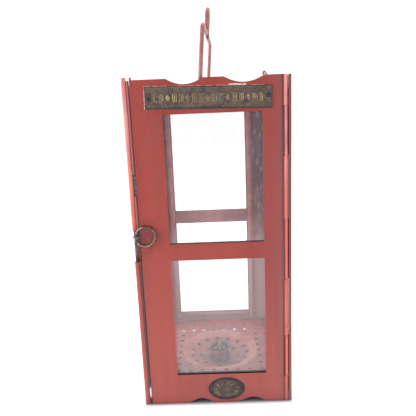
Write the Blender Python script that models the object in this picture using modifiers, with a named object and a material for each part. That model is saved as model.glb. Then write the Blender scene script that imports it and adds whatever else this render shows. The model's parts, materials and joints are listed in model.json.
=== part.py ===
"""A folding sheet-metal candle lantern, standing shut with its bail raised.

Frame: origin at the middle of the bounding box's base, +X to the right, +Y to the back, +Z up, in metres.
The door is the front wall. It hangs on the right wall, and both side walls swing on the back wall.
"""

import math

import bmesh
import bpy
from mathutils import Matrix, Vector

MM = 0.001
GAP = 0.3 * MM
OFF = 0.1 * MM  # keeps faces of two solids that are joined off one plane
BITE_IN = 0.4 * MM  # how far one of two joined solids reaches into the other

# Box of four walls
WIDTH = 162 * MM
DEPTH = 160 * MM
HEIGHT = 347 * MM
SHEET = 0.8 * MM
RING_EYE_REACH = 3.85 * MM  # how far the ring's eye stands in front of the walls
FRONT = (RING_EYE_REACH - DEPTH) / 2
BACK = FRONT + DEPTH

# Rolled hinges: knuckles on a wire pin
BARREL_R = 2.2 * MM
BORE_R = 1.5 * MM
PIN_R = 1.15 * MM
SKIN = 0.2 * MM  # how far a wall's outer face lies inside its barrels' tangent
KNUCKLE_ENDS = [z * MM for z in (0, 30.3, 77.7, 141.3, 206, 270, 318, 347)]
KNUCKLE_GAP = 0.4 * MM
TONGUE_INSET = 0.15 * MM  # a knuckle's end face and its tongue's never share a plane
BARREL_SIDES = 24
BORE_SIDES = 12
CORNER_X = WIDTH / 2 - BARREL_R
CORNER_Y = BACK - BARREL_R
DOOR_PIN = Vector((75.1 * MM, FRONT + BARREL_R, 0))
EDGE_INSET = BARREL_R + 0.5 * MM  # from a pin's axis to the sheet beside the other wall's knuckles
EVEN = (0, 2, 4, 6)  # knuckles of the side walls at the rear, and of the door
ODD = (1, 3, 5)

# The rear right pin's bent end, in mm across from the pin's axis and up from the walls' top
PIN_LEAN = [(0, 4.5), (-1.2, 8.5), (-4.6, 14.3)]
PIN_HOOK = [(-5.2, 15.2), (-6.1, 15.5), (-6.9, 15.0), (-7.3, 14.0), (-6.9, 12.5), (-6.0, 11.1)]

# Windows, the same two in each wall
WINDOW_W = 96.6 * MM
WINDOW_ROWS = [(34.8 * MM, 165.9 * MM), (183.6 * MM, 313.6 * MM)]
DOOR_WINDOW_X = 4.8 * MM
BACK_WINDOW_X = -2.1 * MM

# Scalloped edges: two shallow bites in the top edge, and in the bottom one two soft waves or the back's arches
BITE = 5.6 * MM
WAVE = 6.0 * MM
DOOR_BITES = [(-38.5 * MM, -3.5 * MM), (17 * MM, 55 * MM)]
DOOR_WAVES = [(-36.8 * MM, 0.4 * MM), (18.4 * MM, 58.5 * MM)]
PLAIN_BITES = [(-47 * MM, -10 * MM), (10 * MM, 47 * MM)]
BACK_ARCHES = [(-58 * MM, -10 * MM), (2 * MM, 54 * MM)]
ARCH = 7.0 * MM
SCALLOP_STEPS = 8

# Glass and the strips that hold it. Depths are counted inwards from a wall's inner face.
PANE_EDGE = WINDOW_W / 2 + 5 * MM
PANE_DEPTHS = (0.4 * MM, 2.3 * MM)
PANE_BOTTOM = 30.8 * MM
PANE_TOP = 319.6 * MM
LIP = 3.6 * MM
FOOT = 3.4 * MM
STRIP = 0.6 * MM
LIP_DEPTH = 3.3 * MM

# Door
DOOR_LEFT = -73 * MM
BEAD_R = 1.0 * MM
BEAD_TIP = 2.5 * MM
BEAD_DEPTH = 0.9 * MM
PLATE_SIZE = (121.6 * MM, 21.2 * MM)
PLATE_CENTRE = (1.6 * MM, 328.4 * MM)
PLATE_TILT = math.radians(-1.4)
PLATE_RIVET_X = 57.3 * MM
RIVET_R = 1.0 * MM
RIVET_HOLE_R = 1.4 * MM
RIVET_HEAD_R = 2.2 * MM
RIVET_TAIL_R = 1.9 * MM
RIVET_HEAD_THICK = 1.0 * MM
BADGE_HALF = (19.8 * MM, 13.4 * MM)
BADGE_CENTRE = (9.4 * MM, 17 * MM)
CATCHES = {"door_catch_upper": (236 * MM, 255 * MM), "door_catch_lower": (186.5 * MM, 198 * MM)}
CATCH_LEAF = ((-76 * MM, FRONT + 2.2 * MM), (-69 * MM, FRONT + 2.8 * MM))  # in X and Y
CATCH_FOOT = ((-70 * MM, FRONT + 1.3 * MM), (-63 * MM, FRONT + 2.5 * MM))

# Jamb: the left wall's rolled front edge, its steel rod and the strip beside the door
EDGE_NOTCH = (166 * MM, 199 * MM)
STRIP_NOTCHES = [EDGE_NOTCH, (234.5 * MM, 256.6 * MM)]
NOTCH_EDGE_Y = FRONT + 6 * MM
STRIP_PLAY = 0.4 * MM
STRIP_DEPTHS = (0.8 * MM, 1.6 * MM, 6.2 * MM, 7.0 * MM)  # the front leg's two faces, then the rear leg's
STRIP_NOTCH_DEPTH = 5.4 * MM
JAMB = Vector((-CORNER_X, FRONT + BARREL_R, 0))
JAMB_TOP = HEIGHT + 2.6 * MM  # the rolled edge stands a little above the wall

# Right wall's front: a flange, and leaves from it to its own knuckles on the door's pin
FLANGE_X = 78.2 * MM
FLANGE_DEPTHS = (0.8 * MM, 1.6 * MM)
LEAF_DEPTHS = (1.2 * MM, 2.0 * MM)  # behind the pin's axis
RIGHT_EDGE_Y = FRONT + 0.6 * MM

# Ring pull
RING_R = 10.3 * MM
RING_WIRE_R = 1.1 * MM
RING_PIVOT = Vector((-78.05 * MM, FRONT - 1.5 * MM, 193.3 * MM))
EYE_HOLE_R = 1.45 * MM
EYE_THICK = 1.2 * MM
EYE_RIGHT = -74.2 * MM
EYE_DEPTHS = (0.6 * MM, 2.5 * MM)  # where its neck widens, and where it ends in the catch
EYE_CHAMFER = 0.6 * MM

# Floor tray
FLOOR_TOP = 22.8 * MM
TRAY_HALF = 75 * MM
TRAY_FRONT = FRONT + 5.5 * MM
TRAY_CORNER = 5 * MM  # the front corners are cut off, clear of the door's knuckles
HOLE_PITCH = 13.8 * MM
HOLE_R = 1.7 * MM
HOLE_SIDES = 8
PATTERN = Vector((3.1 * MM, BACK - 83.9 * MM, 0))
DISH_R = 43 * MM
DISH_DEPTH = 14 * MM
DISH_RINGS = [(34 * MM, 15, math.radians(94.7)), (23 * MM, 8, math.radians(40.7))]
SOCKET_R = 11.6 * MM
SOCKET_WALL = 0.6 * MM
SOCKET_TOP = 25.3 * MM
SOCKET_SLIT = 4.2 * MM
SOCKET_HOLE_R = 1.8 * MM
SOCKET_HOLE_RISE = 8 * MM
SOCKET_HOLE_TURN = math.radians(32)
SOCKET_FOOT = 1.8 * MM
SOCKET_BASE = 0.8 * MM
SOCKET_BORE_R = 1.6 * MM
SOCKET_RIVET_R = 1.2 * MM
SOCKET_RIVET_HEAD = 3.0 * MM
DISH_BORE_R = 1.9 * MM

# Hinges of the floor and of the roof
REAR_AXIS_Y = BACK - 5.5 * MM
FLOOR_AXIS_Z = FLOOR_TOP - 2.1 * MM
ROOF_TOP = 335 * MM
ROOF_AXIS_Z = ROOF_TOP + 1.3 * MM
ROLL_R = 2.0 * MM
ROLL_HALF = 61.6 * MM
BRACKET_X = 66 * MM
BRACKET_THICK = 1.2 * MM
BRACKET_FOOT = 7 * MM
EAR_R = 2.6 * MM
EAR_LONG = 3.6 * MM

# Strips on the side walls that the floor and the roof rest on, and the roof's vents (radius, how many)
LEDGE_TIP = 73 * MM
LEDGE_LEG = 8 * MM
LEDGE_ENDS = (FRONT + 12 * MM, BACK - 14 * MM)
VENT_RINGS = ((14 * MM, 6), (30 * MM, 12), (46 * MM, 18))
VENT_R = 2.6 * MM

# Bail
BAIL_FRONT = Vector((-5.9 * MM, FRONT + 8 * MM, 340 * MM))
BAIL_REAR = Vector((0.4 * MM, BACK - 19.5 * MM, 340 * MM))
BAIL_R = 2.0 * MM
BAIL_RISE = 56 * MM
BAIL_LEAN = math.radians(4.8)
BAIL_BEND = 6 * MM
HOOK_BEND = 2.2 * MM
HOOK_PAST = 1.6 * MM
LOOP_R = 11 * MM
LOOP_RISE = 26 * MM
LOOP_FOOT = 9.5 * MM
LOOP_ARC = (232, 284, 16)  # degrees where it starts, degrees it turns, and steps
LUG_INSET = 4.2 * MM
LUG_THICK = 1.2 * MM
LUG_R = 4.4 * MM
LUG_FOOT = 9 * MM
LUG_HOLE_PLAY = 0.45 * MM

PLANES = {
    "front": Matrix(((1, 0, 0), (0, 0, -1), (0, 1, 0))).to_4x4(),
    "side": Matrix(((0, 0, 1), (1, 0, 0), (0, 1, 0))).to_4x4(),
    "flat": Matrix.Identity(4),
}
NORMALS = {"front": Vector((0, 1, 0)), "side": Vector((1, 0, 0)), "flat": Vector((0, 0, 1))}


def start_scene():
    for obj in list(bpy.data.objects):
        bpy.data.objects.remove(obj)
    made = {}
    for name in ("folding_lantern", "cutters"):
        made[name] = bpy.data.collections.new(name)
        bpy.context.scene.collection.children.link(made[name])
    return made["folding_lantern"], made["cutters"]


PARTS, CUTTERS = start_scene()


def make_material(name, colour, roughness, metallic=0.0, alpha=1.0):
    material = bpy.data.materials.new(name)
    material.use_nodes = True
    shader = material.node_tree.nodes["Principled BSDF"]
    shader.inputs["Base Color"].default_value = (*colour, 1)
    shader.inputs["Roughness"].default_value = roughness
    shader.inputs["Metallic"].default_value = metallic
    shader.inputs["Alpha"].default_value = alpha
    return material


RED = make_material("red_paint", (0.40, 0.08, 0.066), 0.45)
INNER_RED = make_material("inner_paint", (0.30, 0.11, 0.11), 0.6)
GLASS = make_material("glass", (0.85, 0.87, 0.86), 0.1, alpha=0.3)
BRASS = make_material("aged_brass", (0.16, 0.11, 0.055), 0.45, 0.9)
STEEL = make_material("dark_steel", (0.08, 0.075, 0.07), 0.45, 0.9)


def finish(obj, material, axis=None):
    """Gives a piece its material and smooth round faces, and hangs it on its joint's axis."""
    obj.data.materials.clear()
    obj.data.materials.append(material)
    if obj.type == "MESH":
        obj.data.shade_smooth()
        obj.data.set_sharp_from_angle(angle=math.radians(35))
    if axis is not None:
        obj.parent = axis
        obj.matrix_parent_inverse = Matrix.Translation(-axis.location)
    return obj


def joint_axis(name, place, parent=None):
    """An empty on a joint's axis. place is in world space, and so is its parent's."""
    empty = bpy.data.objects.new(name, None)
    PARTS.objects.link(empty)
    empty.location = place
    if parent is not None:
        empty.parent = parent
        empty.matrix_parent_inverse = Matrix.Translation(-parent.location)
    return empty


def turn_slivers(mesh):
    """Turns the long edge of each triangle of no area, left where three points of a cap lie on a line."""
    for _ in range(len(mesh.faces)):
        slivers = [face for face in mesh.faces if face.calc_area() < 1e-10]
        if not slivers:
            return
        longest = max(slivers[0].edges, key=lambda edge: edge.calc_length())
        bmesh.ops.rotate_edges(mesh, edges=[longest], use_ccw=False)


def as_mesh(drawn):
    """Turns a curve object into a welded mesh object in world space."""
    bpy.context.view_layer.update()
    graph = bpy.context.evaluated_depsgraph_get()
    mesh = bpy.data.meshes.new_from_object(drawn.evaluated_get(graph))
    mesh.transform(drawn.matrix_world)
    welded = bmesh.new()
    welded.from_mesh(mesh)
    bmesh.ops.remove_doubles(welded, verts=welded.verts, dist=1e-6)
    turn_slivers(welded)
    bmesh.ops.recalc_face_normals(welded, faces=welded.faces)
    welded.to_mesh(mesh)
    welded.free()
    name = drawn.name
    bpy.data.objects.remove(drawn)
    obj = bpy.data.objects.new(name, mesh)
    PARTS.objects.link(obj)
    return obj


def cut_sheet(name, outlines, low, high, plane):
    """A flat piece: its edge, then its holes, drawn in a plane and thick from low to high across it."""
    curve = bpy.data.curves.new(name, "CURVE")
    curve.dimensions = "2D"
    curve.fill_mode = "BOTH"
    curve.extrude = (high - low) / 2
    for outline in outlines:
        spline = curve.splines.new("POLY")
        spline.points.add(len(outline) - 1)
        for point, (u, v) in zip(spline.points, outline):
            point.co = (u, v, 0, 1)
        spline.use_cyclic_u = True
    drawn = bpy.data.objects.new(name, curve)
    PARTS.objects.link(drawn)
    drawn.matrix_world = Matrix.Translation(NORMALS[plane] * (low + high) / 2) @ PLANES[plane]
    return as_mesh(drawn)


def wire(name, points, radius, closed=False):
    """A round wire along points."""
    curve = bpy.data.curves.new(name, "CURVE")
    curve.dimensions = "3D"
    curve.bevel_depth = radius
    curve.bevel_resolution = 2
    curve.use_fill_caps = True
    spline = curve.splines.new("POLY")
    spline.points.add(len(points) - 1)
    for point, place in zip(spline.points, points):
        point.co = (*place, 1)
    spline.use_cyclic_u = closed
    drawn = bpy.data.objects.new(name, curve)
    PARTS.objects.link(drawn)
    return as_mesh(drawn)


def add_box(mesh, low, high):
    size = Vector(high) - Vector(low)
    centre = (Vector(high) + Vector(low)) / 2
    matrix = Matrix.Translation(centre) @ Matrix.Diagonal((*size, 1))
    bmesh.ops.create_cube(mesh, size=1, matrix=matrix)


def add_rod(mesh, start, end, radius, sides=12):
    along = Vector(end) - Vector(start)
    turn = along.to_track_quat("Z", "Y").to_matrix().to_4x4()
    place = Matrix.Translation((Vector(start) + Vector(end)) / 2) @ turn
    size = {"radius1": radius, "radius2": radius, "depth": along.length}
    bmesh.ops.create_cone(mesh, cap_ends=True, segments=sides, matrix=place, **size)


def shapes(name, boxes=(), rods=(), collection=None):
    """One object of separate boxes (low, high) and rods (start, end, radius, sides)."""
    mesh = bmesh.new()
    for low, high in boxes:
        add_box(mesh, low, high)
    for rod in rods:
        add_rod(mesh, *rod)
    data = bpy.data.meshes.new(name)
    mesh.to_mesh(data)
    mesh.free()
    obj = bpy.data.objects.new(name, data)
    (collection or PARTS).objects.link(obj)
    return obj


def combine_with(obj, operation, tool):
    """Adds a Boolean with another object, which is then no piece of its own."""
    tool.hide_render = True
    tool.display_type = "WIRE"
    modifier = obj.modifiers.new(tool.name, "BOOLEAN")
    modifier.operation = operation
    modifier.object = tool
    return obj


def combine(obj, operation, boxes=(), rods=()):
    """Adds a Boolean of boxes and rods to a piece."""
    tool = shapes(f"{obj.name}_{operation.lower()}_{len(obj.modifiers)}", boxes, rods, CUTTERS)
    return combine_with(obj, operation, tool)


def rectangle(u0, u1, v0, v1):
    return [(u0, v0), (u1, v0), (u1, v1), (u0, v1)]


def circle(u, v, radius, sides, phase=0.0):
    turns = [phase + 2 * math.pi * i / sides for i in range(sides)]
    return [(u + radius * math.cos(a), v + radius * math.sin(a)) for a in turns]


def scallop(span, level, depth, soft=False):
    """Points of a bite from a straight edge: an arc or, if soft, a wave that leaves the edge smoothly."""
    points = []
    for i in range(SCALLOP_STEPS + 1):
        t = i / SCALLOP_STEPS
        share = (1 - math.cos(2 * math.pi * t)) / 2 if soft else 4 * t * (1 - t)
        points.append((span[0] + (span[1] - span[0]) * t, level + depth * share))
    return points


def knuckle_edge(body, axis, own, ends=KNUCKLE_ENDS):
    """A wall's vertical edge, bottom to top: out to the pin's axis at its own knuckles, back elsewhere."""
    points = []
    for i in range(len(ends) - 1):
        low = ends[i] + (KNUCKLE_GAP / 2 if i else 0)
        high = ends[i + 1] - (KNUCKLE_GAP / 2 if i < len(ends) - 2 else 0)
        if i in own:
            low, high = low + TONGUE_INSET * bool(i), high - TONGUE_INSET * (i < len(ends) - 2)
            points += [(axis, low), (axis, high)]
        else:
            low, high = low - (KNUCKLE_GAP if i else 0), high + (KNUCKLE_GAP if i < len(ends) - 2 else 0)
            points += [(body, low), (body, high)]
    return points


def knuckles(place, own, ends=KNUCKLE_ENDS):
    """Rods for a wall's own knuckles on the vertical axis at place."""
    rods = []
    for i in own:
        low = ends[i] + (KNUCKLE_GAP / 2 if i else TONGUE_INSET)
        high = ends[i + 1] - (KNUCKLE_GAP / 2 if i < len(ends) - 2 else TONGUE_INSET)
        rods.append(((place.x, place.y, low), (place.x, place.y, high), BARREL_R, BARREL_SIDES))
    return rods


def pin_bore(place):
    return [((place.x, place.y, -5 * MM), (place.x, place.y, HEIGHT + 5 * MM), BORE_R, BORE_SIDES)]


def windows(centre):
    return [rectangle(centre - WINDOW_W / 2, centre + WINDOW_W / 2, *row) for row in WINDOW_ROWS]


def wall_outline(left, right, bites, waves=(), arches=()):
    """A wall's edge, anticlockwise. left and right run bottom to top."""
    bottom = [p for span in waves for p in scallop(span, 0, WAVE, soft=True)]
    bottom += [p for span in arches for p in scallop(span, 0, ARCH)]
    top = [p for span in bites for p in scallop(span, HEIGHT, -BITE)]
    return bottom + right + top[::-1] + left[::-1]


def strip_profile(edge, outward, face, inward):
    """The folded strip round a pane's edge, as (along the wall, across the wall) points.

    edge is the pane's edge and outward the sign away from the pane; face is the wall's inner face and
    inward the sign into the lantern."""
    along = (FOOT, FOOT, STRIP + GAP, STRIP + GAP, -LIP, -LIP, GAP, GAP)
    step = LIP_DEPTH - STRIP
    across = (GAP, GAP + STRIP, GAP + STRIP, LIP_DEPTH, LIP_DEPTH, step, step, GAP)
    return [(edge + outward * a, face + inward * b) for a, b in zip(along, across)]


def swapped(points):
    return [(v, u) for u, v in points]


def glaze(prefix, ends, centre, face, inward, plane, axis):
    """A wall's pane and its three strips. ends name the two upright strips, lower coordinate first."""
    depths = sorted(face + inward * d for d in PANE_DEPTHS)
    pane = rectangle(centre - PANE_EDGE, centre + PANE_EDGE, PANE_BOTTOM, PANE_TOP)
    finish(cut_sheet(f"{prefix}_pane", [pane], *depths, plane), GLASS, axis)
    for end, sign in zip(ends, (-1, 1)):
        profile = strip_profile(centre + sign * PANE_EDGE, sign, face, inward)
        # The upright strips' section lies in X, Y, whichever wall they are on.
        section = profile if plane == "front" else swapped(profile)
        name = f"{prefix}_channel_{end}"
        finish(cut_sheet(name, [section], PANE_BOTTOM - FOOT, PANE_TOP + MM, "flat"), INNER_RED, axis)
    sill = swapped(strip_profile(PANE_BOTTOM, -1, face, inward))
    half = PANE_EDGE - LIP - 0.4 * MM
    across = "side" if plane == "front" else "front"
    name = f"{prefix}_channel_bottom"
    finish(cut_sheet(name, [sill], centre - half, centre + half, across), INNER_RED, axis)


def corner(sign):
    return Vector((sign * CORNER_X, CORNER_Y, 0))


def make_back():
    inner = BACK - SKIN - SHEET
    left = knuckle_edge(-CORNER_X + EDGE_INSET, -CORNER_X, ODD)
    right = knuckle_edge(CORNER_X - EDGE_INSET, CORNER_X, ODD)
    outline = wall_outline(left, right, PLAIN_BITES, arches=BACK_ARCHES)
    wall = cut_sheet("back_wall", [outline, *windows(BACK_WINDOW_X)], inner, BACK - SKIN, "front")
    combine(wall, "UNION", rods=knuckles(corner(-1), ODD) + knuckles(corner(1), ODD))
    combine(wall, "DIFFERENCE", rods=pin_bore(corner(-1)) + pin_bore(corner(1)))
    finish(wall, RED)
    glaze("back", ("left", "right"), BACK_WINDOW_X, inner, -1, "front", None)
    pin = [(-CORNER_X, CORNER_Y, MM), (-CORNER_X, CORNER_Y, HEIGHT - MM)]
    finish(wire("rear_left_hinge_pin", pin, PIN_R), STEEL)
    finish(wire("rear_right_hinge_pin", crooked_pin(), PIN_R), RED)
    make_rear_hinge("floor", FLOOR_AXIS_Z, inner, -1)
    make_rear_hinge("roof", ROOF_AXIS_Z, inner, 1)


def crooked_pin():
    """The rear right pin's line: straight up, over to the left, and back down in a tight hook."""
    bent = [(CORNER_X + across * MM, CORNER_Y, HEIGHT + up * MM) for across, up in PIN_LEAN + PIN_HOOK]
    return [(CORNER_X, CORNER_Y, MM), *bent]


def make_rear_hinge(prefix, z, inner, side):
    """A rod across the back wall in two brackets, which stand up from the rod for a side of -1, down for 1."""
    low, high = sorted((z - side * EAR_LONG, z + side * EAR_R))
    for end, sign in (("left", -1), ("right", 1)):
        x = sign * BRACKET_X
        name = f"{prefix}_hinge_bracket_{end}"
        ear = rectangle(REAR_AXIS_Y - EAR_R, inner - GAP, low, high)
        span = (x - BRACKET_THICK / 2, x + BRACKET_THICK / 2)
        bracket = cut_sheet(name, [ear, circle(REAR_AXIS_Y, z, BORE_R, BORE_SIDES)], *span, "side")
        foot = sorted((x + sign * 2 * OFF, x + sign * BRACKET_FOOT))
        plate = ((foot[0], inner - GAP - MM, low + OFF), (foot[1], inner - GAP, high - OFF))
        combine(bracket, "UNION", boxes=[plate])
        finish(bracket, INNER_RED)
    reach = BRACKET_X + 2 * MM
    rod = [(-reach, REAR_AXIS_Y, z), (reach, REAR_AXIS_Y, z)]
    finish(wire(f"{prefix}_hinge_rod", rod, PIN_R), STEEL)


def ledge(name, sign, z, axis):
    """An angle strip on a side wall. Its flat leg's top is at z."""
    wall = sign * (WIDTH / 2 - SKIN - SHEET - GAP)
    tip = sign * LEDGE_TIP
    inner = wall - sign * SHEET
    low = z - LEDGE_LEG
    section = [(wall, z), (tip, z), (tip, z - SHEET), (inner, z - SHEET), (inner, low), (wall, low)]
    finish(cut_sheet(name, [section], *LEDGE_ENDS, "front"), INNER_RED, axis)


def side_wall_sheet(name, sign, front):
    """A side wall's sheet. front is its front edge, bottom to top, and y is counted across the sheet."""
    rear = knuckle_edge(CORNER_Y - EDGE_INSET, CORNER_Y, EVEN)
    middle = (FRONT + BACK) / 2
    bites = [(a + middle, b + middle) for a, b in PLAIN_BITES]
    outer, inner = sign * (WIDTH / 2 - SKIN), sign * (WIDTH / 2 - SKIN - SHEET)
    outline = wall_outline(front, rear, bites, bites)
    return cut_sheet(name, [outline, *windows(middle)], *sorted((outer, inner)), "side")


def glaze_side(prefix, sign, axis):
    inner = sign * (WIDTH / 2 - SKIN - SHEET)
    glaze(prefix, ("front", "rear"), (FRONT + BACK) / 2, inner, -sign, "side", axis)
    ledge(f"{prefix}_floor_ledge", sign, FLOOR_TOP - SHEET - GAP, axis)
    ledge(f"{prefix}_roof_ledge", sign, ROOF_TOP - SHEET - GAP, axis)


def make_left(axis):
    ends = [0, *EDGE_NOTCH, HEIGHT]
    front = knuckle_edge(NOTCH_EDGE_Y, JAMB.y, (0, 2), ends)
    wall = side_wall_sheet("left_wall", -1, front)
    combine(wall, "UNION", rods=knuckles(corner(-1), EVEN) + knuckles(JAMB, (0, 2), [*ends[:3], JAMB_TOP]))
    combine(wall, "DIFFERENCE", rods=pin_bore(corner(-1)) + pin_bore(JAMB))
    finish(wall, RED, axis)
    glaze_side("left", -1, axis)
    rod = [(JAMB.x, JAMB.y, MM), (JAMB.x, JAMB.y, JAMB_TOP - 0.6 * MM)]
    finish(wire("jamb_rod", rod, PIN_R), STEEL, axis)
    make_jamb_strip(axis)


def make_jamb_strip(axis):
    """A folded strip on the left wall: its front leg fills the gap between the rolled edge and the door."""
    left = JAMB.x + BARREL_R + STRIP_PLAY
    right = DOOR_LEFT - 2 * GAP
    wall = -(WIDTH / 2 - SKIN - SHEET - STRIP_PLAY)
    y = [FRONT + depth for depth in STRIP_DEPTHS]
    web = left + SHEET
    section = [(left, y[0]), (right, y[0]), (right, y[1]), (web, y[1])]
    section += [(web, y[3]), (wall, y[3]), (wall, y[2]), (left, y[2])]
    strip = cut_sheet("jamb_strip", [section], 0.5 * MM, HEIGHT - 0.5 * MM, "flat")
    deep = FRONT + STRIP_NOTCH_DEPTH
    notches = [((left - MM, FRONT, low), (right + MM, deep, high)) for low, high in STRIP_NOTCHES]
    combine(strip, "DIFFERENCE", boxes=notches)
    finish(strip, RED, axis)


def make_right(axis):
    wall = side_wall_sheet("right_wall", 1, [(RIGHT_EDGE_Y, 0), (RIGHT_EDGE_Y, HEIGHT)])
    reach = WIDTH / 2 - SKIN - SHEET + BITE_IN
    flange = ((FLANGE_X, FRONT + FLANGE_DEPTHS[0], OFF), (reach, FRONT + FLANGE_DEPTHS[1], HEIGHT - OFF))
    leaves = []
    for i in ODD:
        low = (DOOR_PIN.x, DOOR_PIN.y + LEAF_DEPTHS[0], KNUCKLE_ENDS[i] + KNUCKLE_GAP)
        high = (reach, DOOR_PIN.y + LEAF_DEPTHS[1], KNUCKLE_ENDS[i + 1] - KNUCKLE_GAP)
        leaves.append((low, high))
    combine(wall, "UNION", boxes=[flange, *leaves])
    combine(wall, "UNION", rods=knuckles(corner(1), EVEN) + knuckles(DOOR_PIN, ODD))
    combine(wall, "DIFFERENCE", rods=pin_bore(corner(1)) + pin_bore(DOOR_PIN))
    finish(wall, RED, axis)
    glaze_side("right", 1, axis)
    pin = [(DOOR_PIN.x, DOOR_PIN.y, MM), (DOOR_PIN.x, DOOR_PIN.y, HEIGHT - MM)]
    finish(wire("door_hinge_pin", pin, PIN_R), STEEL, axis)


def make_door(axis):
    outer = FRONT + SKIN
    inner = outer + SHEET
    left = [(DOOR_LEFT, 0), (DOOR_LEFT, HEIGHT)]
    right = knuckle_edge(DOOR_PIN.x - EDGE_INSET, DOOR_PIN.x, EVEN)
    outline = wall_outline(left, right, DOOR_BITES, DOOR_WAVES)
    panel = cut_sheet("door_panel", [outline, *windows(DOOR_WINDOW_X)], outer, inner, "front")
    bead_x, bead_y = DOOR_LEFT + BEAD_R, FRONT + BEAD_DEPTH
    bead = ((bead_x, bead_y, 2 * OFF), (bead_x, bead_y, HEIGHT + BEAD_TIP), BEAD_R, 12)
    combine(panel, "UNION", rods=[*knuckles(DOOR_PIN, EVEN), bead])
    rivets = [(PLATE_CENTRE[0] + sign * PLATE_RIVET_X, PLATE_CENTRE[1]) for sign in (-1, 1)]
    holes = [((x, FRONT - 5 * MM, z), (x, FRONT + 5 * MM, z), RIVET_HOLE_R, 10) for x, z in rivets]
    combine(panel, "DIFFERENCE", rods=[*pin_bore(DOOR_PIN), *holes])
    finish(panel, RED, axis)
    glaze("door", ("left", "right"), DOOR_WINDOW_X, inner, 1, "front", axis)
    make_name_plate(rivets, outer, inner, axis)
    (x, z), (half_x, half_z) = BADGE_CENTRE, BADGE_HALF
    ellipse = [(x + half_x * u, z + half_z * v) for u, v in circle(0, 0, 1, 32)]
    finish(cut_sheet("oval_badge", [ellipse], outer - GAP - SHEET, outer - GAP, "front"), BRASS, axis)
    for name, (low, high) in CATCHES.items():
        make_catch(name, low, high, axis)


def make_name_plate(rivets, outer, inner, axis):
    """The brass plate, a little tilted, with a rivet through it and the door at each end."""
    half_u, half_v = PLATE_SIZE[0] / 2, PLATE_SIZE[1] / 2
    turn = Matrix.Rotation(PLATE_TILT, 2)
    corners = [turn @ Vector(p) for p in rectangle(-half_u, half_u, -half_v, half_v)]
    edge = [(PLATE_CENTRE[0] + p.x, PLATE_CENTRE[1] + p.y) for p in corners]
    holes = [circle(x, z, RIVET_HOLE_R, 10) for x, z in rivets]
    face = outer - GAP - SHEET
    finish(cut_sheet("name_plate", [edge, *holes], face, outer - GAP, "front"), BRASS, axis)
    for end, (x, z) in zip(("left", "right"), rivets):
        front, rear = face - GAP - RIVET_HEAD_THICK, inner + GAP + RIVET_HEAD_THICK
        shank = ((x, front + GAP, z), (x, rear - OFF, z), RIVET_R, 10)
        head = ((x, front, z), (x, face - GAP, z), RIVET_HEAD_R, 12)
        tail = ((x, inner + GAP, z), (x, rear, z), RIVET_TAIL_R, 12)
        rivet = combine(shapes(f"name_plate_rivet_{end}", rods=[shank]), "UNION", rods=[head, tail])
        finish(rivet, STEEL, axis)


def make_catch(name, low, high, axis):
    """A spring leaf behind the door's left edge. It reaches past the edge into the jamb's notch."""
    (x0, y0), (x1, y1) = CATCH_LEAF
    leaf = shapes(name, boxes=[((x0, y0, low), (x1, y1, high))])
    (x0, y0), (x1, y1) = CATCH_FOOT
    combine(leaf, "UNION", boxes=[((x0, y0, low + BITE_IN), (x1, y1, high - BITE_IN))])
    if low < RING_PIVOT.z < high:
        levels = (RING_PIVOT.z - EYE_THICK / 2, RING_PIVOT.z + EYE_THICK / 2)
        combine_with(leaf, "UNION", cut_sheet(f"{name}_eye", ring_eye(), *levels, "flat"))
    finish(leaf, STEEL, axis)


def ring_eye():
    """Outline and hole of the level tab that the ring hangs in: a neck from the leaf, then a round end."""
    x, y = RING_PIVOT.x, RING_PIVOT.y
    rim = RING_EYE_REACH + (y - FRONT)
    turns = [math.radians(270 - 22.5 * i) for i in range(9)]
    round_end = [(x + rim * math.cos(a), y + rim * math.sin(a)) for a in turns]
    front, rear = (FRONT + depth for depth in EYE_DEPTHS)
    left, low = CATCH_LEAF[0][0] + GAP, y - rim
    neck = [(x, front), (left, front), (left, rear), (EYE_RIGHT, rear)]
    neck += [(EYE_RIGHT, low + EYE_CHAMFER), (EYE_RIGHT - EYE_CHAMFER, low)]
    return [[p for p in round_end if p[1] < front - OFF] + neck, circle(x, y, EYE_HOLE_R, 12)]


def make_ring(axis):
    centre = RING_PIVOT + Vector((RING_R, 0, 0))
    points = [(x, RING_PIVOT.y, z) for x, z in circle(centre.x, centre.z, RING_R, 40)]
    finish(wire("pull_ring", points, RING_WIRE_R, closed=True), STEEL, axis)


def tray_outline():
    notch = REAR_AXIS_Y - 5 * MM
    half = ROLL_HALF + BITE_IN
    rear = [(TRAY_HALF, notch), (half, notch), (half, REAR_AXIS_Y), (-half, REAR_AXIS_Y), (-half, notch)]
    cut = TRAY_HALF - TRAY_CORNER
    front = [(-cut, TRAY_FRONT), (cut, TRAY_FRONT), (TRAY_HALF, TRAY_FRONT + TRAY_CORNER)]
    return [(-TRAY_HALF, TRAY_FRONT + TRAY_CORNER), *front, *rear, (-TRAY_HALF, notch)]


def dish_level(radius):
    """Height of the dish's upper surface at a radius: a spherical bowl below the floor's top."""
    sphere = (DISH_R**2 + DISH_DEPTH**2) / (2 * DISH_DEPTH)
    return FLOOR_TOP - DISH_DEPTH + sphere - math.sqrt(sphere**2 - radius**2)


def floor_holes():
    """The square pattern: two rows all round, and one hole more inside each corner."""
    holes = []
    for i in range(10):
        for j in range(10):
            edge = min(i, j, 9 - i, 9 - j)
            if edge < 2 or (i in (2, 7) and j in (2, 7)):
                holes.append((PATTERN.x + (i - 4.5) * HOLE_PITCH, PATTERN.y + (j - 4.5) * HOLE_PITCH))
    return holes


def rolled_edge(z):
    """The rolled rear edge of the floor or the roof, and its bore."""
    roll = ((-ROLL_HALF, REAR_AXIS_Y, z), (ROLL_HALF, REAR_AXIS_Y, z), ROLL_R, 12)
    bore = ((-TRAY_HALF, REAR_AXIS_Y, z), (TRAY_HALF, REAR_AXIS_Y, z), BORE_R, BORE_SIDES)
    return roll, bore


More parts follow.
